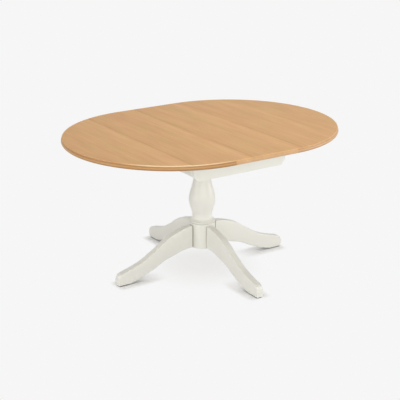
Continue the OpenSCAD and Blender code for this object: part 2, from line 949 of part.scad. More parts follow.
module leg_solid() {
    rings = leg_rings();
    sides = 4 * (round_steps + 1);
    count = len(rings);
    polyhedron(
        points = [for (ring = rings) each ring],
        faces = concat(
            [[for (k = [0 : sides - 1]) k]],
            [[for (k = [sides - 1 : -1 : 0]) (count - 1) * sides + k]],
            [for (i = [0 : count - 2], k = [0 : sides - 1])
                let (n = (k + 1) % sides)
                each [
                    [i * sides + k, (i + 1) * sides + k, (i + 1) * sides + n],
                    [i * sides + k, (i + 1) * sides + n, i * sides + n]
                ]]
        )
    );
}

// A leg turned to its place, hollowed at its end to sit on the hub
module leg(angle) {
    color(cream)
        difference() {
            rotate([0, 0, angle])
                leg_solid();
            translate([0, 0, hub_bottom - hub_top])
                cylinder(h = 2 * hub_top, r = hub_r, $fn = 120);
            stud_set();
        }
}

module leg_right() { leg(0); }
module leg_back() { leg(90); }
module leg_left() { leg(180); }
module leg_front() { leg(270); }

glide_corner_r = 5;

// The pad under a foot, with round corners
module glide(angle) {
    color(dark_pad)
        rotate([0, 0, angle])
            translate([leg_reach - glide_inset - glide_l, 0, 0])
                linear_extrude(glide_h)
                    union() {
                        translate([0, glide_corner_r - glide_w / 2])
                            square([glide_l, glide_w - 2 * glide_corner_r]);
                        translate([glide_corner_r, -glide_w / 2])
                            square([glide_l - 2 * glide_corner_r, glide_w]);
                        for (x = [glide_corner_r, glide_l - glide_corner_r], y = [-1, 1])
                            translate([x, y * (glide_w / 2 - glide_corner_r)])
                                circle(r = glide_corner_r, $fn = 32);
                    }
}

module glide_right() { glide(0); }
module glide_back() { glide(90); }
module glide_left() { glide(180); }
module glide_front() { glide(270); }

column();
hub_cover();
hub_cover_screws();
leg_left();
leg_right();
leg_front();
leg_back();
glide_left();
glide_right();
glide_front();
glide_back();
leg_studs();
leg_washers();
leg_nuts();
pedestal_plate();
column_bolts();
plate_screws();
front_rail();
back_rail();
left_end_rail();
right_end_rail();
left_cross_rail();
right_cross_rail();
front_left_corner_block();
front_right_corner_block();
back_left_corner_block();
back_right_corner_block();
corner_screws();
front_fixed_runner();
back_fixed_runner();
front_rail_tongue();
back_rail_tongue();
tongue_screws();
pinion_bridge();
cross_rail_screws();
pinion_washer();
pinion_pin();
equaliser_pinion();
left_half_top();
left_front_bearer();
left_back_bearer();
left_bearer_screws();
left_rack();
left_rack_screws();
left_edge_dowels();
right_half_top();
right_front_bearer();
right_back_bearer();
right_bearer_screws();
right_rack();
right_rack_screws();
centre_leaf();
leaf_dowels();
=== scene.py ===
import functools
import math

import bmesh
import bpy
import numpy as np
from bpy.props import FloatProperty, PointerProperty, StringProperty
from bpy.types import Operator, Panel, PropertyGroup
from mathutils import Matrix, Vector


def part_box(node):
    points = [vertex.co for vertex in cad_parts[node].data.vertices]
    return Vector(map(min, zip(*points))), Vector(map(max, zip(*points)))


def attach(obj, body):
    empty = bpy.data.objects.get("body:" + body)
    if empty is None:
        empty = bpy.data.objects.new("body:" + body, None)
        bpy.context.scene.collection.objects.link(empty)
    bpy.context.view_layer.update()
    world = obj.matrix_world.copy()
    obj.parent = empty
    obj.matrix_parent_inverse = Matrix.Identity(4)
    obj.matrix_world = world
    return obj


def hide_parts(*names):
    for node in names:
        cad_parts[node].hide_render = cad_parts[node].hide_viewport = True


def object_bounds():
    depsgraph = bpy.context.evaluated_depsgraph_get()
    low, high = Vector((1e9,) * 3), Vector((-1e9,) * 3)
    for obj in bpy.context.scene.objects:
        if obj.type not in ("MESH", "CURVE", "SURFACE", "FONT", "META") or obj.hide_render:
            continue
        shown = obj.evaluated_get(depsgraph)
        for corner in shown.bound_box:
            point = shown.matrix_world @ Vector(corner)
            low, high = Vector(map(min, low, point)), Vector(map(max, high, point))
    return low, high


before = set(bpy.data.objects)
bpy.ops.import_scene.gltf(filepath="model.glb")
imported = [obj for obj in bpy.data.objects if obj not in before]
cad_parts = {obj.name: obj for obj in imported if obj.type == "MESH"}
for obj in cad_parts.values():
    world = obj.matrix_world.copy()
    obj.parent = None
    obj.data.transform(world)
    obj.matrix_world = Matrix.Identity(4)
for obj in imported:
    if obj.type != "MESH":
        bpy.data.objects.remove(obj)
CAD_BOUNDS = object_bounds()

bl_info = {
    "name": "Extending pedestal dining table",
    "version": (1, 0, 0),
    "blender": (4, 5, 0),
    "location": "3D View > Sidebar > Table",
    "description": "Finishes an oak and painted extending dining table on its fixed frame",
    "category": "Object",
}

MM = 0.001
# Points nearer to each other than this are merged, and shorter edges than this dissolved
MERGE_DISTANCE = 2e-6
SHORTEST_EDGE = 1e-7
# A new piece keeps a sharp edge where its faces turn more than this
SHARP_ANGLE = math.radians(38)
# A CAD node's edge is softened where its faces turn more than this
SOFTEN_ANGLE = math.radians(50)

# Places read from the frame in metres, and the leaf's width in millimetres
LEAF_LOW, LEAF_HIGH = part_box("centre_leaf")
LEAF_WIDTH = (LEAF_HIGH[0] - LEAF_LOW[0]) / MM
COLUMN_LOW, COLUMN_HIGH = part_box("column")
RAIL_LOW, RAIL_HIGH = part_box("front_rail")
END_LOW, END_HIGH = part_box("right_end_rail")
LEG_LOW, LEG_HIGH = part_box("leg_right")
PAD_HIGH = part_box("glide_right")[1]
COVER_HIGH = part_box("hub_cover")[1]
OUTER_BEARER_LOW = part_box("left_back_bearer")[0]
INNER_BEARER_LOW, INNER_BEARER_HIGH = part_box("right_back_bearer")
RACK_LOW, RACK_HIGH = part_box("right_rack")


# Settings

def number(name, description, default, unit="NONE"):
    """A setting that is a number with a unit."""
    return FloatProperty(name=name, description=description, default=default, unit=unit)


def length(name, description, millimetres):
    """A setting that is a length, given in millimetres and kept in metres."""
    return number(name, description, millimetres * MM, "LENGTH")


def tint(name, description, default):
    """A setting that is a colour."""
    return StringProperty(name=name, description=description + ", as sRGB hex", default=default)


class TopSettings(PropertyGroup):
    diameter: length("Diameter", "Diameter of the round top when it is closed",
                     2 * CAD_BOUNDS[1][0] / MM - LEAF_WIDTH)
    leaf_width: length("Leaf width", "Width of the loose leaf along the table", LEAF_WIDTH)
    underside: length("Underside", "Height of the top's underside", LEAF_LOW[2] / MM)
    thickness: length("Thickness", "Thickness of the halves and the leaf",
                      (LEAF_HIGH[2] - LEAF_LOW[2]) / MM)
    arris: length("Upper edge", "Radius of the small round on the upper edge", 3.5)
    step: length("Step", "Distance that the upper edge stands back from the moulding", 3.5)
    bulge: length("Moulding", "Radius of the moulding under the upper edge", 11)
    bulge_height: length("Moulding height", "Height of the moulding over the underside", 17)
    groove_width: length("Board groove", "Width of the groove where two boards meet", 2.4)
    joint_arris: length("Joint edge", "Softened edge where the halves and the leaf meet", 0.4)
    left_joint: length("Left board joint", "Place of the board joint in the left half", -389)
    leaf_joint: length("Leaf board joint", "Place of the board joint in the leaf", -84)
    right_joint: length("Right board joint", "Place of the board joint in the right half", 212)
    socket_depth: length("Socket depth", "Depth of the dowel sockets in the joints", 14)
    socket_radius: length("Socket radius", "Radius of the dowel sockets", 4.2)


class FrameSettings(PropertyGroup):
    cut_length: length("Corner cut", "Length of the sloped cut on the long rails' lower corners",
                       24)
    cut_height: length("Corner cut height", "Height of the sloped cut", 27)
    edge: length("Edge", "Radius of the rails' softened edges", 1.6)
    corner: length("Corner", "Radius of the rails' rounded corners", 1.5)
    run_gap: length("Running gap", "Space round a bearer in its notch", 0.3)
    rack_room: length("Rack room", "Space round a rack in its notch", 1)


class ColumnSettings(PropertyGroup):
    neck: length("Neck", "Radius of the plain neck", 44)
    vase: length("Vase", "Radius of the vase at its widest", 69.5)
    hub: length("Hub", "Radius of the hub", 68)
    hub_top: length("Hub top", "Height of the hub's upper edge", 251)
    hub_edge: length("Hub edge", "Radius of the round on the hub's upper edge", 4)
    groove_height: length("Groove height", "Height of the shadow groove", 2.5)
    groove_depth: length("Groove depth", "Depth of the shadow groove", 3)
    ring_step: length("Ring step", "Distance that the ring stands back from the hub", 0.8)
    ring_height: length("Ring height", "Height of the ring over the groove", 8)
    pocket: length("Pocket", "Half width of the square pocket in the hub", 35)
    pocket_height: length("Pocket height", "Height of the pocket", 130)
    cover_gap: length("Cover gap", "Space round the cover under the hub", 0.3)


class LegSettings(PropertyGroup):
    reach: length("Reach", "Distance from the pedestal's axis to the toe", 519)
    top: length("Top", "Height of the leg's top over the floor", 242)
    edge: length("Edge", "Radius of the leg's rounded edges", 5.5)
    reveal_width: length("Shadow gap", "Width of the shadow gap at the hub", 6)
    reveal_depth: length("Shadow gap depth", "Depth of the shadow gap at the hub", 4.5)
    toe: length("Toe", "Radius of the round at the toe", 2.5)


class FinishSettings(PropertyGroup):
    oak: tint("Oak", "Colour of the lacquered oak", "#D5A56B")
    oak_dark: tint("Oak grain", "Colour of the oak's darker grain", "#BF8A52")
    oak_rim: tint("Oak edge", "Colour of the moulded edge", "#B98C57")
    # Painted sheen: a pale, greyed colour mixed into the edges of the leaf and the right half, so
    # they look lit like the face
    oak_painted_sheen: tint("Oak light edge", "Colour of the edge where it is as light as the face",
                   "#D0B9A2")
    # Painted shade: the dark colour laid in the edge's step and under its moulding
    oak_crease_shade: tint("Oak crease", "Colour where lacquer gathers in the moulding", "#8A5A2C")
    # Painted highlight: a pale colour laid on the rounded upper edge, strongest on the left half
    # near the joint
    oak_painted_highlight: tint("Oak arris", "Colour of the sanded upper edge", "#F0D0A2")
    oak_under: tint("Oak underside", "Colour of the sealed underside", "#908676")
    paint: tint("Paint", "Colour of the cream satin paint", "#E6E5DC")
    paint_rub: tint("Rubbed paint", "Colour of the paint on the edges", "#DEDCD2")
    # Painted shade: the dark colour laid on the legs' narrow necks down in the shadow gaps at the
    # hub
    paint_gap_shade: tint("Thin paint", "Colour of the thin paint down in the shadow gaps", "#A09A8C")
    beech: tint("Beech", "Colour of the sanded beech", "#D3B084")
    beech_dark: tint("Beech grain", "Colour of the beech's darker grain", "#BD9468")
    zinc: tint("Zinc", "Colour of the zinc plated fasteners", "#C9CBC9")
    gear: tint("Machined steel", "Colour of the gear, racks and plate", "#9B9C9E")
    pad: tint("Foot pad", "Colour of the pads under the feet", "#5A5651")


class StageSettings(PropertyGroup):
    azimuth: number("Azimuth", "Direction of the camera round the table",
                    math.radians(-33.64), "ROTATION")
    elevation: number("Elevation", "Height of the camera over the horizon",
                      math.radians(18.95), "ROTATION")
    distance: length("Distance", "Distance from the camera to its target", 5293)
    target_x: length("Target X", "Place along the table that the camera looks at", -13.4)
    target_z: length("Target height", "Height that the camera looks at", 368)
    lens: number("Lens", "Focal length on a 36 mm sensor", 91.25, "CAMERA")
    background: tint("Background", "Colour of the floor and the backdrop", "#F6F6F6")
    middle_sky: number("Middle sky", "Strength of the light from 20 degrees up", 1.17)
    high_sky: number("High sky", "Strength of the light from straight above", 0.04)
    overhead_power: number("Overhead light", "Power of the softbox over the table", 24, "POWER")
    low_key_power: number("Low key light", "Power of the low softbox on the right", 43, "POWER")
    front_power: number("Front light", "Power of the wide softbox in front", 48, "POWER")
    strip_power: number("Strip light", "Power of the narrow softbox left of the camera", 10,
                        "POWER")
    left_power: number("Left light", "Power of the low softbox on the left", 23, "POWER")
    bounce: number("Bounce", "Share of the light that the floor gives back to the table", 0.8)
    board: number("Board", "Share of the light that the floor shows to the camera", 0.955)
    shadow_share: number("Shadow", "Share of the shade under the column that the camera sees",
                         0.38)
    contact_share: number("Contact shadow",
                          "Share of the shade under a foot that the camera sees", 0.9)
    floor_size: length("Floor size", "Length of the floor's side", 60000)


# Small tools

def linear(hex_value):
    """The linear colour, with an alpha of 1, of an sRGB hex colour such as #D2A778."""
    parts = [int(hex_value[i:i + 2], 16) / 255 for i in (1, 3, 5)]
    low = [c / 12.92 if c <= 0.04045 else ((c + 0.055) / 1.055) ** 2.4 for c in parts]
    return (*low, 1.0)


def grey(level):
    """The colour that has one level in red, green and blue."""
    return (level, level, level, 1.0)


def scaled(hex_value, share):
    """The linear colour of a hex colour, made darker to a share of itself."""
    return (*[c * share for c in linear(hex_value)[:3]], 1.0)


def placed(name, data):
    """A new object in the scene, at the origin."""
    made = bpy.data.objects.new(name, data)
    bpy.context.scene.collection.objects.link(made)
    return made


def smooth_curve(points):
    """A curve through all points, with CURVE_STEPS pieces between two of them. Each piece is
    the cubic whose end slopes are half of the way between the points on either side."""
    p = np.asarray(points, float)
    padded = np.vstack([p[:1], p, p[-1:]])
    t = (np.arange(CURVE_STEPS) / CURVE_STEPS)[None, :, None]
    a, b, c, d = (padded[i:len(p) - 1 + i][:, None, :] for i in range(4))
    curve = 0.5 * (2 * b + (c - a) * t + (2 * a - 5 * b + 4 * c - d) * t ** 2
                   + (3 * b - a - 3 * c + d) * t ** 3)
    return np.vstack([curve.reshape(-1, p.shape[1]), p[-1:]])


def side_by_side(*columns):
    """An array with these columns. A column that is a single number holds it in each row."""
    return np.stack(np.broadcast_arrays(*columns), 1)


def grid_faces(rows, columns):
    """Quads between neighbouring points of a grid, wrapping round the columns."""
    r = np.arange(rows - 1)[:, None]
    c = np.arange(columns)[None, :]
    n = (c + 1) % columns
    corners = [r * columns + c, r * columns + n, (r + 1) * columns + n, (r + 1) * columns + c]
    return np.stack(np.broadcast_arrays(*corners), axis=-1).reshape(-1, 4).tolist()


def solid_mesh(name, points, faces, marks):
    """A closed mesh from points and faces. Doubled points are merged and faces turned outwards.
    `marks` holds one number for each point by name."""
    mesh = bpy.data.meshes.new(name)
    mesh.from_pydata(np.asarray(points, float).reshape(-1, 3).tolist(), [], faces)
    for key, values in marks.items():
        layer = mesh.attributes.new(key, "FLOAT", "POINT")
        layer.data.foreach_set("value", np.asarray(values, np.float32).ravel())
    work = bmesh.new()
    work.from_mesh(mesh)
    bmesh.ops.remove_doubles(work, verts=work.verts, dist=MERGE_DISTANCE)
    bmesh.ops.dissolve_degenerate(work, edges=work.edges, dist=SHORTEST_EDGE)
    bmesh.ops.recalc_face_normals(work, faces=work.faces)
    work.to_mesh(mesh)
    work.free()
    return mesh


def make_piece(name, shape, finish, body, *replaced):
    """A piece from its points, faces and marks, with its material. It rides on its body and
    stands for the replaced nodes."""
    material, slot = finish
    mesh = solid_mesh(name, *shape)
    mesh.shade_smooth()
    mesh.set_sharp_from_angle(angle=SHARP_ANGLE)
    mesh.materials.append(bpy.data.materials[material])
    piece = placed(name, mesh)
    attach(piece, body)
    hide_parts(*replaced)
    return piece


def finish_nodes(material, edge, *endings):
    """Gives the CAD nodes whose names have one of the endings a material, and a softened
    edge with the given radius in metres."""
    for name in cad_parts:
        if not name.endswith(endings):
            continue
        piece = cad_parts[name]
        if not piece.data.materials:
            piece.data.materials.append(bpy.data.materials[material])
        for place in piece.material_slots:
            place.material = bpy.data.materials[material]
        weld = piece.modifiers.new("join", "WELD")
        weld.merge_threshold = MERGE_DISTANCE
        bevel = piece.modifiers.new("soften", "BEVEL")
        bevel.width = edge
        bevel.segments = 2
        bevel.limit_method = "ANGLE"
        bevel.angle_limit = SOFTEN_ANGLE


# Materials

# Material names with the record's slots for them
OAK = ("lacquered_oak", "oak")
PAINT = ("cream_satin_paint", "cream_paint")
# Width of the lighter band along each oak board's right side
BAND = 42 * MM
# Distance from the last board joint to a light band that has no joint
LAST_BAND = 278 * MM
# Grey levels at each band: before it, on it, on the line beside it, and after that
BAND_LEVELS = ((0.47, 0.66, 0.27, 0.45), (0.46, 0.66, 0.28, 0.48), (0.51, 0.68, 0.38, 0.52),
               (0.54, 0.65, 0.54, 0.55))


def add_node(tree, kind, settings=(), out=0, **links):
    """Adds a shader node of one kind. Its settings are pairs, a ramp's stops among them, or the
    name of its operation. Its inputs are given by name, or by number as in _0: a socket is
    linked, a hex colour is made linear, and any other value is set as it is. Returns the
    output of the given number or name, or all those in a tuple."""
    made = tree.nodes.new("ShaderNode" + kind)
    pairs = {"operation": settings} if isinstance(settings, str) else dict(settings)
    if "stops" in pairs:
        elements = made.color_ramp.elements
        elements.remove(elements[1])
        for i, (place, level) in enumerate(pairs.pop("stops")):
            element = elements[0] if i == 0 else elements.new(place)
            element.position = place
            element.color = grey(level)
    for key, value in pairs.items():
        setattr(made, key, value)
    for key, value in links.items():
        socket = made.inputs[int(key[1:]) if key[1:].isdigit() else key.replace("_", " ")]
        if isinstance(value, bpy.types.NodeSocket):
            tree.links.new(value, socket)
        else:
            socket.default_value = linear(value) if isinstance(value, str) else value
    if isinstance(out, tuple):
        return [made.outputs[name] for name in out]
    return made.outputs[out] if made.outputs else None


def emptied(owner):
    """The function that adds nodes to a new material's or world's emptied tree, and the
    Object coordinates there."""
    owner.use_nodes = True
    owner.node_tree.nodes.clear()
    add = functools.partial(add_node, owner.node_tree)
    return add, add("TexCoord", out="Object")


def coated(add, colour, *coats):
    """A colour with others laid over it in turn. Each coat is a colour, its share, and the
    stops of a ramp over that share where it has them."""
    for other, share, *stops in coats:
        if stops:
            share = add("ValToRGB", {"stops": stops}, Fac=share)
        colour = add("Mix", {"data_type": "RGBA"}, 2, _0=share, _6=colour, _7=other)
    return colour


def grain_scale(axis, across, along):
    """The scale that divides coordinates by a real grain size in millimetres: `along` on the
    grain's own axis, and `across` on the other two."""
    scale = [1 / (across * MM)] * 3
    scale[axis] = 1 / (along * MM)
    return scale


def streaks(add, coords, axis, across, along, detail, offset=(0, 0, 0)):
    """Noise drawn out along one axis, as wood grain is, with its sizes in millimetres."""
    place = add("Mapping", Vector=coords, Scale=grain_scale(axis, across, along), Location=offset)
    return add("TexNoise", Vector=place, Scale=1.0, Detail=detail, Roughness=0.55)


def surface(add, colour, roughness, height, strength, depth, **more):
    """Ends a material with its shader. The bump follows `height`, with a depth in metres."""
    bump = add("Bump", Strength=strength, Distance=depth, Height=height)
    shader = add("BsdfPrincipled", Base_Color=colour, Roughness=roughness, Normal=bump, **more)
    add("OutputMaterial", Surface=shader)


def band_stops(top, half_length):
    """Stops along the table from its left end: a lighter band before each board joint and a
    dark line on the joint."""
    stops = [(0.0, 0.4), (0.06, 0.38), (0.12, 0.46)]
    joints = (top.left_joint, top.leaf_joint, top.right_joint, top.right_joint + LAST_BAND)
    for joint, (before, lift, line, after) in zip(joints, BAND_LEVELS):
        for step, level in ((-2.2, before), (-1.3, 0.3 * before + 0.7 * lift), (-0.5, lift),
                            (0.0, line), (0.25, 0.5 * (line + after)), (0.9, after)):
            stops.append(((joint + step * BAND + half_length) / (2 * half_length), level))
    return stops


def oak_material(finish, top):
    """Oak boards, planed, sanded and finished with satin lacquer: open pores and long streaks
    along the boards, boards that differ a little, and a soft broad gloss. The moulded edge was
    shaped and lacquered with more coats, so it is deeper in colour and clearer in gloss. Its
    step and the underside of its moulding carry painted shade, the edges of the leaf and the
    right half a paler painted sheen, and its rounded upper edge a thin clear coat with a
    painted highlight."""
    add, coords = emptied(bpy.data.materials.new(OAK[0]))
    x, z = add("SeparateXYZ", out=("X", "Z"), Vector=coords)

    # The bands wander by a few millimetres, and are stronger in some patches
    half_length = top.diameter / 2 + top.leaf_width / 2
    wander = streaks(add, coords, 1, 60, 700, 2, (5, 2, 0))
    shift = add("Math", "MULTIPLY_ADD", _0=wander, _1=BAND / 4, _2=x)
    share = add("MapRange", Value=shift, From_Min=-half_length + BAND / 8,
                From_Max=half_length + BAND / 8)
    bands = add("ValToRGB", {"stops": band_stops(top, half_length)}, Fac=share)
    patchy = streaks(add, coords, 1, 25, 260, 2, (8, 4, 0))
    strength = add("MapRange", Value=patchy, From_Min=0.3, From_Max=0.7, To_Min=0.5, To_Max=1.4)
    centred = add("Math", "SUBTRACT", _0=bands, _1=0.5)
    tone = add("Math", "MULTIPLY_ADD", _0=centred, _1=strength, _2=0.5)

    broad = streaks(add, coords, 1, 36, 260, 3)
    fine = streaks(add, coords, 1, 3.2, 100, 5, (3, 0, 0))
    pores = streaks(add, coords, 1, 0.9, 16, 2, (0, 7, 0))
    arches = add("Mapping", Vector=coords, Scale=grain_scale(1, 75, 1300), Location=(0.4, 0.2, 0))
    figure = add("TexWave", {"wave_type": "BANDS", "bands_direction": "X"}, "Fac",
                 Vector=arches, Scale=1.0, Distortion=7.0, Detail=3.0, Detail_Scale=1.2)
    pore_mask = add("ValToRGB", {"stops": ((0.36, 1), (0.42, 0))}, Fac=pores)
    fine_mask = add("ValToRGB", {"stops": ((0, 0.22), (0.38, 0.16), (0.62, 0))}, Fac=fine)
    pore_share = add("Math", "MULTIPLY", _0=pore_mask, _1=0.3)
    dark = finish.oak_dark
    colour = coated(add, finish.oak, (dark, broad, (0.36, 0), (0.64, 0.38), (1, 0.5)),
                    (dark, fine_mask), (dark, figure, (0, 0.2), (0.35, 0.05), (1, 0)),
                    (finish.oak_rim, pore_share))

    # Lighter and darker wood differ less in red than in blue
    darker, lighter = (add("VectorMath", "MULTIPLY", _0=colour, _1=shares)
                       for shares in ((0.81, 0.77, 0.69), (1.19, 1.25, 1.42)))
    toned = coated(add, darker, (lighter, tone))
    # Patches that lean to red or to green, as the heart and the outer wood do
    patches = streaks(add, coords, 1, 70, 240, 2, (1, 9, 0))
    lean = add("MapRange", Value=patches, From_Min=0.35, From_Max=0.65)
    redder, greener = (add("VectorMath", "MULTIPLY", _0=toned, _1=shares)
                       for shares in ((1.02, 0.985, 1.0), (0.98, 1.01, 0.96)))

    rim, arris, crease = (add("Attribute", {"attribute_name": name}, "Fac")
                          for name in ("rim", "arris", "crease"))
    # The lower the rim's mark is, the more of the pale painted sheen is mixed into the edge
    rim_colour = coated(add, finish.oak_painted_sheen, (finish.oak_rim, rim), (dark, fine_mask))
    # Painted highlight: the pale colour laid on the rounded upper edge by its arris mark
    sanded = add("Math", "MULTIPLY", _0=arris, _1=0.95)
    sealed = add("MapRange", Value=z, From_Min=top.underside + 0.2 * MM,
                 From_Max=top.underside + 0.8 * MM, To_Min=0.85, To_Max=0.0)
    # The crease colour is painted shade, in the edge's step and under its moulding
    colour = coated(add, redder, (greener, lean), (rim_colour, rim),
                    (finish.oak_painted_highlight, sanded), (finish.oak_crease_shade, crease),
                    (finish.oak_under, sealed))

    rough = add("MapRange", Value=fine, To_Min=0.46, To_Max=0.58)
    gloss = add("Math", "MULTIPLY_ADD", _0=rim, _1=-0.16, _2=rough)
    height = add("Math", "MULTIPLY_ADD", _0=pore_mask, _1=-1.0, _2=fine)
    coat = add("Math", "MULTIPLY", _0=arris, _1=0.25)
    surface(add, colour, gloss, height, 0.3, 0.12 * MM, IOR=1.42, Coat_Weight=coat,
            Coat_Roughness=0.12)


def paint_material(finish):
    """Timber sprayed with cream satin enamel: even and smooth, faint orange peel from the gun,
    the grain only just telling through, edges rubbed a little darker, and painted shade down
    in the shadow gaps at the hub."""
    add, coords = emptied(bpy.data.materials.new(PAINT[0]))
    # Soft clouds, orange peel that is about 2 mm across, and speckles of 7 mm
    cloud, peel, speckle = (add("TexNoise", Vector=coords, Scale=scale, Detail=detail)
                            for scale, detail in ((6, 3), (1 / (2.2 * MM), 2),
                                                  (1 / (7 * MM), 4)))
    grain = streaks(add, coords, 2, 5, 60, 2)
    # The gap mark says where painted shade goes, down in the shadow gaps at the hub
    rub, gap = (add("Attribute", {"attribute_name": name}, "Fac") for name in ("rub", "gap"))
    spots = add("ValToRGB", {"stops": ((0, 0), (0.5, 0.15), (0.7, 0.8), (1, 1))}, Fac=speckle)
    worn = add("Math", "MULTIPLY", _0=rub, _1=spots)
    colour = coated(add, finish.paint,
                    (finish.paint_rub, cloud, (0, 0), (0.35, 0.05), (0.7, 0.3), (1, 0.4)),
                    (finish.paint_rub, worn), (finish.paint_gap_shade, gap))
    rough = add("MapRange", Value=peel, To_Min=0.28, To_Max=0.38)
    height = add("Math", "MULTIPLY_ADD", _0=grain, _1=0.5, _2=peel)
    surface(add, colour, rough, height, 0.25, 0.08 * MM, IOR=1.5)


def beech_material(finish, axis):
    """Beech, sawn, sanded and left plain: a dull surface, fine even grain along the piece and
    the short darker flecks that beech has."""
    add, coords = emptied(bpy.data.materials.new("sanded_beech_" + "xyz"[axis]))
    broad = streaks(add, coords, axis, 14, 420, 3)
    fine = streaks(add, coords, axis, 1.6, 60, 4, (2, 5, 1))
    flecks = streaks(add, coords, axis, 1.1, 7, 1, (9, 1, 4))
    dark = finish.beech_dark
    colour = coated(add, finish.beech, (dark, broad, (0.3, 0), (0.7, 0.55)),
                    (dark, fine, (0.35, 0.25), (0.6, 0)), (dark, flecks, (0.62, 0), (0.7, 0.5)))
    rough = add("MapRange", Value=broad, To_Min=0.6, To_Max=0.75)
    surface(add, colour, rough, fine, 0.4, 0.15 * MM)


def steel_material(name, hex_value, roughness, scratch):
    """Steel: zinc plated and tumbled for the fasteners, or sawn and machined for the gear,
    racks and plate. It is a little cloudy, with fine marks `scratch` millimetres apart."""
    add, coords = emptied(bpy.data.materials.new(name))
    marks = streaks(add, coords, 0, scratch, 14 * scratch, 3)
    cloud = add("TexNoise", Vector=coords, Scale=1 / (9 * MM), Detail=3)
    colour = coated(add, hex_value, (scaled(hex_value, 0.72), cloud, (0.3, 0), (0.75, 0.8)))
    rough = add("MapRange", Value=marks, To_Min=roughness - 0.07, To_Max=roughness + 0.1)
    surface(add, colour, rough, marks, 0.3, 0.05 * MM, Metallic=1.0)


def pad_material(finish):
    """Moulded polypropylene, textured in its mould: dark, dull and faintly grainy."""
    add, coords = emptied(bpy.data.materials.new("moulded_foot_pad"))
    grit = add("TexNoise", Vector=coords, Scale=1 / (0.9 * MM), Detail=3)
    colour = coated(add, finish.pad, (scaled(finish.pad, 0.6), grit, (0.35, 0), (0.65, 0.6)))
    rough = add("MapRange", Value=grit, To_Min=0.7, To_Max=0.85)
    surface(add, colour, rough, grit, 0.4, 0.1 * MM)


# Table top

BULGE_Z_SHARE = 0.86
ARC_STEPS = 14
ROUND_STEPS = 90
SOCKET_SIDES = 24
# Places of the dowels across the table, as shares of the top's diameter
DOWEL_SHARES = (-0.38, -0.13, 0.13, 0.38)
# Shares of painted shade under the bulge, in the step and at the upper edge's foot
UNDER_SHADE, STEP_SHADE, FOOT_SHADE = 0.9, 0.7, 0.5
# The sine below which the painted shade starts under the bulge, and the turns over which it fades
# out
UNDER_SINE, STEP_TURN, FOOT_TURN = 0.1, math.radians(12), math.radians(15)
# Each piece's share of the edge's marks: darker edge wood, whose smaller shares let in the
# pale painted sheen, painted shade in the creases, and the painted highlight on the upper edge
LEFT_MARKS = {"rim": 1, "crease": 1, "arris": 1}
RIGHT_MARKS = {"rim": 0.7, "crease": 0.5, "arris": 0.05}
LEAF_MARKS = {"rim": 0.5, "crease": 0.1, "arris": 0.1}


def edge_section(top):
    """The moulded edge from the underside up, as outward distances from the widest reach and
    heights over the underside: a flat strip, a bulging arc, a small step, a rounded upper edge
    and a flat strip. The third column is 1 on the moulding and 0 on the flat faces, the fourth
    is the share of painted shade in the step and under the bulge, and the fifth is 1 on the
    rounded upper edge, where the painted highlight goes, and 0 below it."""
    centre = top.bulge * BULGE_Z_SHARE
    low = -math.asin(centre / top.bulge)
    high = math.asin((top.bulge_height - centre) / top.bulge)
    a = np.linspace(low, high, 2 * ARC_STEPS)
    under = np.clip((UNDER_SINE - np.sin(a)) / (UNDER_SINE + math.sin(-low)), 0, 1)
    step = np.clip((a - high) / STEP_TURN + 1, 0, 1)
    bulge = side_by_side(top.bulge * (np.cos(a) - 1), centre + top.bulge * np.sin(a), 1,
                         np.maximum(under * UNDER_SHADE, step * STEP_SHADE), 0)
    b = np.linspace(0, math.pi / 2, ARC_STEPS)
    foot = np.clip(1 - b / FOOT_TURN, 0, 1) * FOOT_SHADE
    arris = side_by_side(-top.step - top.arris * (1 - np.cos(b)),
                         top.thickness - top.arris * (1 - np.sin(b)), 0, foot, 1)
    strip = np.array([[-2 * top.bulge, 0, 0, 0, 0], [bulge[0, 0] - MM, 0, 0, 0, 0]])
    roof = np.array([[arris[-1, 0] - 0.5 * MM, top.thickness, 0, 0, 0],
                     [arris[-1, 0] - 3 * MM, top.thickness, 0, 0, 0]])
    return np.vstack([strip, bulge, arris, roof])


def section_loop(top):
    """One closed loop round the top's cross-section: the edge on the front side going up, then
    the edge on the back side going down. Returns outward distance, side, height, and the
    marks by name."""
    edge = edge_section(top)
    out, height, rim, crease, arris = np.concatenate([edge, edge[::-1]]).T
    side = np.repeat([-1.0, 1.0], len(edge))
    return out, side, height, {"rim": rim, "crease": crease, "arris": arris}


def top_points(top, x, y, height, inset, sink):
    """Points of the top. Heights are moved towards the middle of the thickness by at most
    `inset`, at the joints. Where `sink` is 1, at the bottom of a board groove, heights near
    the upper face are lowered by half its width, fading out down the rounded edge."""
    z = np.clip(height, inset, top.thickness - inset)
    near = np.clip((z - top.thickness + top.arris) / top.arris, 0, 1)
    z = z - sink * top.groove_width / 2 * near ** 2
    return np.stack([x, y, top.underside + z], -1)


def groove_stations(place, width):
    """Three stations across a groove, each a place and a share of the groove's depth."""
    return [(place - width / 2, 0.0), (place, 1.0), (place + width / 2, 0.0)]


def cap_faces(first, count, flip=False):
    """Strips that close a cross-section loop, joining the points of its two sides."""
    k = np.arange(count // 2 - 1)
    faces = side_by_side(first + k, first + k + 1, first + count - 2 - k, first + count - 1 - k)
    return (faces[:, ::-1] if flip else faces).tolist()


def weighted(marks, shares, shape):
    """The marks of a piece's points, each times the piece's share of it."""
    return {name: np.broadcast_to(shares[name] * mark, shape) for name, mark in marks.items()}


def painted_highlight_share(turn):
    """Share of the painted highlight on the edge, by the turn from the joint in radians: it
    grows from 0.35 to 1 over the first 20 degrees, and fades smoothly out from 42 to 60
    degrees."""
    rise = np.clip(turn / math.radians(20), 0, 1)
    fall = np.clip((math.radians(60) - turn) / math.radians(18), 0, 1)
    return (0.35 + 0.65 * rise) * fall ** 2 * (3 - 2 * fall)


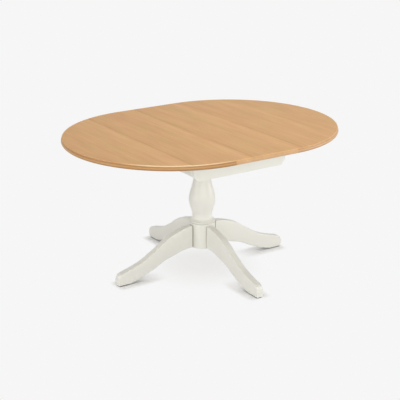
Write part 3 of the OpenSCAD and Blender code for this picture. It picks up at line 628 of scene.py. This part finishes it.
def half_top_mesh(top, side, joint):
    """Half of the round top. At each station the cross-section loop stands on a chord of the
    circle: a point at outward distance d lies at x = centre + side (R + d) sin(turn) and
    y = (R + d) cos(turn) on either side, with the turn going from the joint to the far end.
    The left half's edge is darker wood, with a painted highlight on its upper edge near the
    joint. The right half's edge has a paler painted sheen, more like the face."""
    out, front, height, marks = section_loop(top)
    radius = top.diameter / 2
    centre = side * top.leaf_width / 2
    turns = [(t, 0.0) for t in np.linspace(0, math.pi / 2, ROUND_STEPS)[1:]]
    inner = radius + out.min() + 2 * top.bulge - top.step - top.arris
    for place, share in groove_stations(abs(joint - centre), top.groove_width):
        turns.append((math.asin(place / inner), share))
    turns.sort()
    turn = np.array([0.0, 0.0] + [t for t, share in turns])[:, None]
    drop = np.array([0.0, 0.0] + [share for t, share in turns])[:, None]
    shift = np.zeros_like(turn)
    shift[1] = top.joint_arris
    inset = np.zeros_like(turn)
    inset[0] = top.joint_arris
    reach = radius + out[None, :]
    x = centre + side * (reach * np.sin(turn) + shift)
    y = front[None, :] * reach * np.cos(turn)
    points = top_points(top, x, y, height, inset, drop)
    faces = grid_faces(len(turn), len(out)) + cap_faces(0, len(out))
    if side > 0:
        return points, faces, weighted(marks, RIGHT_MARKS, x.shape)
    # On the left half the painted highlight on the upper edge fades with the turn from the joint
    return points, faces, weighted(marks, {**LEFT_MARKS, "arris": painted_highlight_share(turn)}, x.shape)


def leaf_mesh(top):
    """The leaf: the same cross-section loop carried straight along X, with its joint edges
    softened and one board groove."""
    out, front, height, marks = section_loop(top)
    half = top.leaf_width / 2
    stations = [(-half, 0.0, 1.0), (-half + top.joint_arris, 0.0, 0.0)]
    stations += [(x, share, 0.0) for x, share in groove_stations(top.leaf_joint, top.groove_width)]
    stations += [(half - top.joint_arris, 0.0, 0.0), (half, 0.0, 1.0)]
    along, drop, soft = (np.array(column)[:, None] for column in zip(*stations))
    reach = top.diameter / 2 + out[None, :]
    x = np.broadcast_to(along, (len(stations), len(out)))
    y = np.broadcast_to(front[None, :] * reach, x.shape)
    points = top_points(top, x, y, height, soft * top.joint_arris, drop)
    last = (len(stations) - 1) * len(out)
    faces = (grid_faces(len(stations), len(out)) + cap_faces(0, len(out))
             + cap_faces(last, len(out), True))
    return points, faces, weighted(marks, LEAF_MARKS, x.shape)


def socket_cutter(top, joint):
    """Round bars where the dowel sockets are: circles in the YZ plane, carried along +X from
    just outside the joint face to the socket's depth."""
    rows = np.array(DOWEL_SHARES) * top.diameter
    a = np.linspace(0, 2 * math.pi, SOCKET_SIDES, endpoint=False)
    ring = side_by_side(0, np.cos(a), np.sin(a)) * top.socket_radius
    middle = top.underside + top.thickness / 2
    points, faces = [], []
    for i, y in enumerate(rows):
        for x in (joint - MM, joint + top.socket_depth):
            points.append(ring + [x, y, middle])
        base = i * 2 * SOCKET_SIDES
        faces += (np.array(grid_faces(2, SOCKET_SIDES)) + base).tolist()
        faces += [list(range(base, base + SOCKET_SIDES))]
        faces += [list(range(base + 2 * SOCKET_SIDES - 1, base + SOCKET_SIDES - 1, -1))]
    return np.vstack(points), faces


def drill(piece, points, faces):
    """Cuts closed shapes out of a piece for good, and drops the cutter."""
    cutter = placed("cutter", solid_mesh("cutter", points, faces, {}))
    cut = piece.modifiers.new("sockets", "BOOLEAN")
    cut.operation = "DIFFERENCE"
    cut.solver = "EXACT"
    cut.object = cutter
    seen = piece.evaluated_get(bpy.context.evaluated_depsgraph_get())
    made = bpy.data.meshes.new_from_object(seen)
    piece.modifiers.clear()
    used = (piece.data, cutter.data)
    piece.data = made
    bpy.data.objects.remove(cutter)
    for mesh in used:
        bpy.data.meshes.remove(mesh)
    made.set_sharp_from_angle(angle=SHARP_ANGLE)


# Frame

FILLET_STEPS = 4
EDGE_STEPS = 3


def filleted(outline, radius):
    """A closed outline with each corner replaced by a parabola, which touches the sides where
    an arc of the given radius would."""
    p = np.asarray(outline, float)
    before, after = np.roll(p, 1, 0) - p, np.roll(p, -1, 0) - p
    u = before / np.linalg.norm(before, axis=1)[:, None]
    v = after / np.linalg.norm(after, axis=1)[:, None]
    half = np.arccos(np.clip((u * v).sum(1), -1, 1)) / 2
    reach = (radius / np.tan(half))[:, None]
    t = np.linspace(0, 1, FILLET_STEPS + 1)[None, :, None]
    start, end = (p + u * reach)[:, None], (p + v * reach)[:, None]
    corner = p[:, None]
    return ((1 - t) ** 2 * start + 2 * t * (1 - t) * corner + t ** 2 * end).reshape(-1, 2)


def offset_in(outline, distance):
    """A closed outline, given anticlockwise, moved inwards along the middle of each corner."""
    p = np.asarray(outline, float)
    edge = np.roll(p, -1, 0) - p
    edge /= np.linalg.norm(edge, axis=1)[:, None]
    normal = side_by_side(-edge[:, 1], edge[:, 0])
    last = np.roll(normal, 1, 0)
    return p + distance * (normal + last) / (1 + (normal * last).sum(1))[:, None]


def board_mesh(outline, low, high, edge, axis):
    """A board: an outline carried along an axis from low to high, drawn in near both faces by
    a quarter circle so that its edges are rounded. The marks are largest in mid-edge."""
    a = np.linspace(0, math.pi / 2, EDGE_STEPS + 1)
    inset = np.concatenate([edge * (1 - np.sin(a)), edge * (1 - np.sin(a[::-1]))])
    depth = np.concatenate([low + edge * (1 - np.cos(a)), high - edge * (1 - np.cos(a[::-1]))])
    rings = np.stack([offset_in(outline, d) for d in inset])
    count = len(outline)
    flat = np.broadcast_to(depth[:, None], rings.shape[:2])
    order = {0: (2, 0, 1), 1: (0, 2, 1), 2: (0, 1, 2)}[axis]
    points = np.stack([rings[..., 0], rings[..., 1], flat], -1)[..., order]
    faces = grid_faces(len(inset), count)
    faces += [list(range(count))[::-1], list(range((len(inset) - 1) * count, len(inset) * count))]
    rub = np.sin(np.concatenate([a, a[::-1]]) * 2) ** 0.5
    return points, faces, {"rub": np.broadcast_to(rub[:, None], rings.shape[:2])}


def long_rail_outline(settings):
    """The front or back rail seen from the front: a long board with its lower corners cut."""
    half, low, high = RAIL_HIGH[0], RAIL_LOW[2], RAIL_HIGH[2]
    return [(half, high), (-half, high), (-half, low + settings.cut_height),
            (-half + settings.cut_length, low), (half - settings.cut_length, low),
            (half, low + settings.cut_height)]


def end_rail_outline(settings, side):
    """An end rail seen along X: a long board whose upper edge is notched for two bearers and
    for one rack. Going anticlockwise, the upper edge runs from high Y to low Y."""
    half, low, high = -END_LOW[1], END_LOW[2], END_HIGH[2]
    floor = OUTER_BEARER_LOW[2] - settings.run_gap
    if side < 0:
        near = OUTER_BEARER_LOW[1] - settings.run_gap
        notch = [(half, floor), (near, floor), (near, high)]
    else:
        near = INNER_BEARER_LOW[1] - settings.run_gap
        far = INNER_BEARER_HIGH[1] + settings.run_gap
        notch = [(half, high), (far, high), (far, floor), (near, floor), (near, high)]
    sides = [RACK_HIGH[1] + settings.rack_room, RACK_LOW[1] - settings.rack_room]
    first, last = sides if side > 0 else (-sides[1], -sides[0])
    under = RACK_LOW[2] - settings.rack_room
    rack = [(first, high), (first, under), (last, under), (last, high)]
    return notch + rack + [(-y, z) for y, z in notch[::-1]] + [(-half, low), (half, low)]


# Pedestal

# The vase over the ring: share of the height from ring to column top, and share of the
# radius from neck to vase
VASE_SHARES = [
    (0.036, 0.55), (0.048, 0.372), (0.068, 0.325), (0.093, 0.315), (0.123, 0.325),
    (0.158, 0.42), (0.197, 0.59), (0.241, 0.78), (0.282, 0.92), (0.33, 1),
    (0.386, 0.955), (0.444, 0.78), (0.5, 0.57), (0.555, 0.36), (0.61, 0.165),
    (0.666, 0.04), (0.737, 0),
]
# Share of rubbed paint on the ring
RING_RUB = 0.3
TURN_STEPS = 160
CURVE_STEPS = 8


def column_outline(settings):
    """The turned outline from the underside up, as radius and height: a straight hub with a
    rounded edge, a groove, a half-round ring, then the vase and the neck. The third column
    marks the edges where paint rubs."""
    low, high = COLUMN_LOW[2], COLUMN_HIGH[2]
    a = np.linspace(0, math.pi / 2, ARC_STEPS)
    hub_edge = settings.hub - settings.hub_edge
    hub = side_by_side(hub_edge + settings.hub_edge * np.cos(a),
                       settings.hub_top - settings.hub_edge * (1 - np.sin(a)), 1)
    groove_r = hub_edge - settings.groove_depth
    ring_low = settings.hub_top + settings.groove_height
    groove = np.array([[groove_r, settings.hub_top, 0], [groove_r, ring_low, 0]])
    b = np.linspace(-math.pi / 2, math.pi / 2, 2 * ARC_STEPS)
    half = settings.ring_height / 2
    ring = side_by_side(settings.hub - settings.ring_step - half * (1 - np.cos(b)),
                        ring_low + half * (1 + np.sin(b)), RING_RUB)
    shares = smooth_curve(VASE_SHARES)
    vase = side_by_side(settings.neck + shares[:, 1] * (settings.vase - settings.neck),
                        ring_low + shares[:, 0] * (high - ring_low), 0)
    foot = np.array([[settings.hub - MM, low, 1], [settings.hub, low + MM, 1],
                     [settings.hub, low + 3 * MM, 0]])
    top = np.array([[settings.neck, high - MM, 0], [settings.neck, high, 0]])
    return np.vstack([foot, hub, groove, ring, vase, top])


def column_mesh(settings):
    """The outline turned round Z, and inside it the cover's round recess and a square pocket,
    whose radius in a direction is its half width over the larger of cosine and sine."""
    outline = column_outline(settings)
    a = np.linspace(0, 2 * math.pi, TURN_STEPS, endpoint=False)
    c, s = np.cos(a), np.sin(a)
    square = settings.pocket / np.maximum(abs(c), abs(s))
    low = COLUMN_LOW[2]
    recess = COVER_HIGH[0] + settings.cover_gap
    pocket_top = low + settings.pocket_height
    inner = [(np.zeros_like(a), pocket_top), (square, pocket_top), (square, COVER_HIGH[2]),
             (np.full_like(a, recess), COVER_HIGH[2]), (np.full_like(a, recess), low)]
    radius = np.vstack([r[None] for r, z in inner] + [np.repeat(outline[:, :1], len(a), 1),
                                                      np.zeros((1, len(a)))])
    height = np.concatenate([[z for r, z in inner], outline[:, 1], [COLUMN_HIGH[2]]])
    marks = np.concatenate([np.zeros(len(inner)), outline[:, 2], [0]])
    points = np.stack([radius * c, radius * s, np.repeat(height[:, None], len(a), 1)], -1)
    rub = np.repeat(marks[:, None], len(a), 1)
    return points, grid_faces(len(height), len(a)), {"rub": rub}


# The leg's upper and lower outline: share of the reach, and share from the sole to the top
UPPER_SHARES = [
    (0.148, 1), (0.185, 0.99), (0.241, 0.968), (0.289, 0.939), (0.337, 0.905), (0.4, 0.852),
    (0.482, 0.744), (0.56, 0.627), (0.626, 0.542), (0.69, 0.461), (0.75, 0.403),
    (0.82, 0.349), (0.896, 0.3), (0.95, 0.268), (0.985, 0.228), (0.996, 0.16),
]
LOWER_SHARES = [
    (0.148, 0.487), (0.185, 0.483), (0.23, 0.475), (0.281, 0.454), (0.33, 0.418),
    (0.405, 0.374), (0.464, 0.336), (0.52, 0.277), (0.578, 0.21), (0.636, 0.16),
    (0.694, 0.105), (0.761, 0.0525), (0.819, 0.019), (0.867, 0), (0.925, 0), (0.99, 0),
]
CORNER_STEPS = 8
TOE_STEPS = 6


def leg_line(settings, shares):
    """Points of one outline of the leg, as distance from the axis and height."""
    curve = smooth_curve(shares)
    sole = PAD_HIGH[2]
    rise = np.maximum(curve[:, 1], 0) * (settings.top - sole)
    return side_by_side(curve[:, 0] * settings.reach, sole + rise)


def leg_mesh(settings, hub_radius):
    """A leg along +X. Each ring is a rounded rectangle that stands between a point of the
    lower line and one of the upper line. At the hub it has a narrower neck, hollowed to the
    hub's radius, and at the toe the rings draw in along a quarter circle."""
    high, low = leg_line(settings, UPPER_SHARES), leg_line(settings, LOWER_SHARES)
    start = hub_radius + settings.reveal_width
    a = np.linspace(0, math.pi / 2, TOE_STEPS + 1)[1:]
    heads = np.array([[hub_radius, 1], [start, 1], [start, 0]])
    toe = side_by_side(settings.toe * np.sin(a), 0)
    highs, lows = (np.vstack([[(x, line[0, 1]) for x, k in heads], line[1:], line[-1] + toe])
                   for line in (high, low))
    inset = np.concatenate([heads[:, 1] * settings.reveal_depth, np.zeros(len(high) - 1),
                            settings.toe * (1 - np.cos(a))])[:, None]
    span = np.linalg.norm(highs - lows, axis=1)[:, None]
    along = (highs - lows) / span
    half = (LEG_HIGH[1] - LEG_LOW[1]) / 2 - inset
    quarter = np.linspace(0, math.pi / 2, CORNER_STEPS + 1)
    turn = np.concatenate([quarter + k * math.pi / 2 for k in range(4)])[None, :]
    side = np.repeat([1.0, -1.0, -1.0, 1.0], CORNER_STEPS + 1)[None, :]
    upper = np.repeat([1.0, 1.0, 0.0, 0.0], CORNER_STEPS + 1)[None, :]
    r = settings.edge
    across = side * (half - r) + r * np.cos(turn)
    up = upper * (span - inset - r) + (1 - upper) * (inset + r) + r * np.sin(turn)
    x = lows[:, :1] + along[:, :1] * up
    z = lows[:, 1:] + along[:, 1:] * up
    x[0] = np.sqrt(hub_radius ** 2 - across[0] ** 2)
    points = np.stack([x, across, z], -1)
    rows, sides = x.shape
    # The first two rings, in the shadow gap at the hub, take painted shade
    gap = np.zeros(x.shape)
    gap[:2] = 1
    marks = {"rub": np.broadcast_to(np.sin(2 * turn) ** 2, x.shape), "gap": gap}
    faces = grid_faces(rows, sides) + [list(range(sides))]
    faces += [list(range(rows * sides - 1, (rows - 1) * sides - 1, -1))]
    return points, faces, marks


def turned(points, degrees):
    """Points turned about the Z axis."""
    c, s = math.cos(math.radians(degrees)), math.sin(math.radians(degrees))
    return points @ np.array([[c, s, 0], [-s, c, 0], [0, 0, 1]])


# Stage

# Each softbox by its power's setting, with its width and height, and its place
SOFTBOXES = (
    ("overhead", (1.5, 1.3), (0.1, -0.35, 3.2)), ("low_key", (1.4, 1.2), (3.4, -2.2, 1.0)),
    ("front", (3.2, 1.0), (-1.4, -3.8, 1.4)), ("strip", (0.5, 1.2), (-3.1, -2.4, 0.95)),
    ("left", (1.4, 1.0), (-3.8, 0.3, 0.8)),
)
# The point that all softboxes face
AIM = Vector((0.0, 0.0, 0.45))
SENSOR_WIDTH = 36
CLIP_RANGE = (0.1, 100)
# Height over the horizon, as a sine, from which most of the sky's light comes
BRIGHT_SKY = math.sin(math.radians(20))


def fades(add, *parts):
    """The product of values that each go smoothly from a first level at one distance to a last
    level at another. A part holds the distance, its start and end, and the two levels."""
    product = 1.0
    for distance, start, end, first, last in parts:
        share = add("MapRange", {"interpolation_type": "SMOOTHSTEP"}, Value=distance,
                    From_Min=start, From_Max=end, To_Min=first, To_Max=last)
        product = add("Math", "MULTIPLY", _0=product, _1=share)
    return product


def sees_background(add):
    """1 for rays from the camera, and for those that a shiny or a clear surface sends on."""
    camera, shiny, clear = add(
        "LightPath", out=("Is Camera Ray", "Is Glossy Ray", "Is Transmission Ray"))
    either = add("Math", "MAXIMUM", _0=camera, _1=shiny)
    return add("Math", "MAXIMUM", _0=either, _1=clear)


def floor_material(stage):
    """A seamless studio floor. Light that bounces sees grey board. The camera and reflections
    see the background colour with a share of the board's shade: some of it under the column,
    fading out between the legs, and nearly all of it under the feet, where the board's plain
    level equals the background. Right under the feet the board is also painted darker, a
    painted contact shadow along the closed gap between foot and floor."""
    add, coords = emptied(bpy.data.materials.new("studio_floor"))
    distance = add("VectorMath", "LENGTH", "Value", Vector=coords)
    folded = add("VectorMath", "ABSOLUTE", Vector=coords)
    x, y = add("SeparateXYZ", out=("X", "Y"), Vector=folded)
    beside = add("Math", "MINIMUM", _0=x, _1=y)
    middle = fades(add, (distance, 0.06, 0.36, stage.shadow_share, 0))
    contact = fades(add, (beside, 0.03, 0.075, stage.contact_share, 0),
                    (distance, 0.2, 0.4, 0, 1), (distance, 0.5, 0.54, 1, 0))
    share = add("Math", "MAXIMUM", _0=contact, _1=middle)
    # Painted contact shadow: the board is darkened towards black in a strip right under each foot
    gap = fades(add, (beside, 0.012, 0.022, 1, 0), (distance, 0.34, 0.44, 0, 1),
                (distance, 0.505, 0.52, 0.62, 0))
    tone = coated(add, grey(stage.board), (grey(0), gap))
    board = add("BsdfDiffuse", Color=tone)
    bounce = add("BsdfDiffuse", Color=grey(stage.bounce))
    glow = add("Emission", Color=stage.background, Strength=1.0)
    seen = add("MixShader", Fac=share, _1=glow, _2=board)
    shader = add("MixShader", Fac=sees_background(add), _1=bounce, _2=seen)
    add("OutputMaterial", Surface=shader)


def stage_world(stage):
    """Light from all around: none from the horizon, most from 20 degrees up and little from
    straight above. The camera and reflections see the background colour there."""
    world = bpy.data.worlds.new("studio")
    add, direction = emptied(world)
    height = add("SeparateXYZ", out="Z", Vector=direction)
    lower = add("MapRange", Value=height, From_Max=BRIGHT_SKY, To_Max=stage.middle_sky)
    upper = add("MapRange", Value=height, From_Min=BRIGHT_SKY,
                To_Max=stage.high_sky - stage.middle_sky)
    strength = add("Math", "ADD", _0=lower, _1=upper)
    light = add("Background", Color=grey(1), Strength=strength)
    plain = add("Background", Color=stage.background, Strength=1.0)
    mix = add("MixShader", Fac=sees_background(add), _1=light, _2=plain)
    add("OutputWorld", Surface=mix)
    return world


def softbox(name, power, size, place):
    """A rectangular soft light that faces the middle of the table."""
    light = bpy.data.lights.new(name, "AREA")
    light.shape = "RECTANGLE"
    light.size, light.size_y = size
    light.energy = power
    lamp = placed(name, light)
    lamp.location = place
    lamp.rotation_euler = (AIM - lamp.location).to_track_quat("-Z", "Y").to_euler()


def stage_camera(stage):
    """The camera, at its distance from the target in the direction of its two angles."""
    lens = bpy.data.cameras.new("camera")
    lens.sensor_width = SENSOR_WIDTH
    lens.lens = stage.lens
    lens.clip_start, lens.clip_end = CLIP_RANGE
    camera = placed("camera", lens)
    flat = math.cos(stage.elevation)
    back = Vector((math.sin(stage.azimuth) * flat, -math.cos(stage.azimuth) * flat,
                   math.sin(stage.elevation)))
    camera.location = Vector((stage.target_x, 0, stage.target_z)) + back * stage.distance
    camera.rotation_euler = (-back).to_track_quat("-Z", "Y").to_euler()
    return camera


# Operators

class TABLE_OT_stage(Operator):
    """Makes the floor, the lights, the world and the camera"""
    bl_idname = "table.stage"
    bl_label = "Stage and Camera"

    def execute(self, context):
        scene, stage = context.scene, context.scene.table_stage
        half = stage.floor_size / 2
        mesh = bpy.data.meshes.new("floor")
        mesh.from_pydata([(-half, -half, 0), (half, -half, 0), (half, half, 0), (-half, half, 0)],
                         [], [(0, 1, 2, 3)])
        floor_material(stage)
        mesh.materials.append(bpy.data.materials["studio_floor"])
        floor = placed("floor", mesh)
        for name, size, place in SOFTBOXES:
            softbox(name + "_softbox", getattr(stage, name + "_power"), size, place)
        scene.world = stage_world(stage)
        scene.camera = stage_camera(stage)
        scene.view_settings.view_transform = "Standard"
        return {"FINISHED"}


class TABLE_OT_finishes(Operator):
    """Makes the materials of the table"""
    bl_idname = "table.finishes"
    bl_label = "Finishes"

    def execute(self, context):
        finish = context.scene.table_finish
        oak_material(finish, context.scene.table_top)
        paint_material(finish)
        for axis in range(3):
            beech_material(finish, axis)
        steel_material("zinc_plated_steel", finish.zinc, 0.34, 1.1)
        steel_material("machined_steel", finish.gear, 0.4, 0.8)
        pad_material(finish)
        return {"FINISHED"}


class TABLE_OT_top(Operator):
    """Makes the two half tops and the leaf, with their dowel sockets, and finishes the dowels"""
    bl_idname = "table.top"
    bl_label = "Top and Leaf"

    def execute(self, context):
        top = context.scene.table_top
        make_piece("left_half_top_board", half_top_mesh(top, -1, top.left_joint), OAK,
                   "left_top", "left_half_top")
        right = make_piece("right_half_top_board", half_top_mesh(top, 1, top.right_joint), OAK,
                           "right_top", "right_half_top")
        leaf = make_piece("leaf_board", leaf_mesh(top), OAK, "leaf", "centre_leaf")
        drill(right, *socket_cutter(top, top.leaf_width / 2))
        drill(leaf, *socket_cutter(top, -top.leaf_width / 2))
        finish_nodes("sanded_beech_x", 0.6 * MM, "dowels")
        return {"FINISHED"}


class TABLE_OT_frame(Operator):
    """Makes the four painted rails of the frame and finishes what joins them"""
    bl_idname = "table.frame"
    bl_label = "Frame"

    def execute(self, context):
        settings = context.scene.table_frame
        outline = filleted(long_rail_outline(settings), settings.corner)[::-1]
        for name in ("front", "back"):
            low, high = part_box(name + "_rail")
            shape = board_mesh(outline, low[1], high[1], settings.edge, 1)
            make_piece(name + "_painted_rail", shape, PAINT, "base", name + "_rail")
        for name, side in (("left", -1), ("right", 1)):
            low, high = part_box(name + "_end_rail")
            outline = end_rail_outline(settings, side)
            shape = board_mesh(outline, low[0], high[0], settings.edge / 2, 0)
            make_piece(name + "_painted_end_rail", shape, PAINT, "base", name + "_end_rail")
        finish_nodes("sanded_beech_y", 1.2 * MM, "cross_rail")
        finish_nodes("sanded_beech_z", 1 * MM, "corner_block")
        return {"FINISHED"}


class TABLE_OT_slides(Operator):
    """Finishes the bearers, runners and tongues that the halves slide on, and the equaliser"""
    bl_idname = "table.slides"
    bl_label = "Slides and Equaliser"

    def execute(self, context):
        finish_nodes("sanded_beech_x", 1 * MM, "bearer", "bridge")
        finish_nodes("sanded_beech_x", 0.5 * MM, "runner", "tongue")
        finish_nodes("machined_steel", 0.25 * MM, "pinion", "rack", "washer", "pin")
        return {"FINISHED"}


class TABLE_OT_pedestal(Operator):
    """Makes the turned column and the four curved legs, and finishes the cover and the pads"""
    bl_idname = "table.pedestal"
    bl_label = "Column and Legs"

    def execute(self, context):
        column = context.scene.table_column
        make_piece("turned_column", column_mesh(column), PAINT, "base", "column")
        points, faces, marks = leg_mesh(context.scene.table_leg, column.hub)
        for name, degrees in (("right", 0), ("back", 90), ("left", 180), ("front", 270)):
            make_piece(name + "_curved_leg", (turned(points, degrees), faces, marks), PAINT,
                       "base", "leg_" + name)
        finish_nodes("sanded_beech_x", 0.8 * MM, "hub_cover")
        finish_nodes("moulded_foot_pad", 0.8 * MM,
                     *("glide_" + name for name in ("left", "right", "front", "back")))
        return {"FINISHED"}


class TABLE_OT_hardware(Operator):
    """Finishes the steel plate, bolts, studs, nuts, washers and screws"""
    bl_idname = "table.hardware"
    bl_label = "Hardware"

    def execute(self, context):
        finish_nodes("machined_steel", 0.5 * MM, "plate")
        finish_nodes("zinc_plated_steel", 0.2 * MM, "bolts", "studs", "washers", "nuts", "screws")
        return {"FINISHED"}


class TABLE_PT_panel(Panel):
    """Lists the table's makers in the sidebar"""
    bl_idname = "TABLE_PT_panel"
    bl_label = "Dining Table"
    bl_space_type = "VIEW_3D"
    bl_region_type = "UI"
    bl_category = "Table"

    def draw(self, context):
        for operator in OPERATORS:
            self.layout.operator(operator.bl_idname)
        for name in SETTINGS:
            group = getattr(context.scene, name)
            box = self.layout.box()
            for key in group.__annotations__:
                box.prop(group, key)


SETTINGS = {
    "table_top": TopSettings, "table_frame": FrameSettings, "table_column": ColumnSettings,
    "table_leg": LegSettings, "table_finish": FinishSettings, "table_stage": StageSettings,
}
OPERATORS = (TABLE_OT_stage, TABLE_OT_finishes, TABLE_OT_top, TABLE_OT_frame, TABLE_OT_slides,
             TABLE_OT_pedestal, TABLE_OT_hardware)


def register():
    for group in (*SETTINGS.values(), *OPERATORS, TABLE_PT_panel):
        bpy.utils.register_class(group)
    for name, group in SETTINGS.items():
        setattr(bpy.types.Scene, name, PointerProperty(type=group))


def unregister():
    for name in SETTINGS:
        delattr(bpy.types.Scene, name)
    for group in reversed((*SETTINGS.values(), *OPERATORS, TABLE_PT_panel)):
        bpy.utils.unregister_class(group)


def main():
    register()
    for name in ("Cube", "Light", "Camera"):
        if name in bpy.data.objects:
            bpy.data.objects.remove(bpy.data.objects[name])
    bpy.ops.table.stage()
    bpy.ops.table.finishes()
    bpy.ops.table.top()
    bpy.ops.table.frame()
    bpy.ops.table.slides()
    bpy.ops.table.pedestal()
    bpy.ops.table.hardware()


if __name__ == "__main__":
    main()
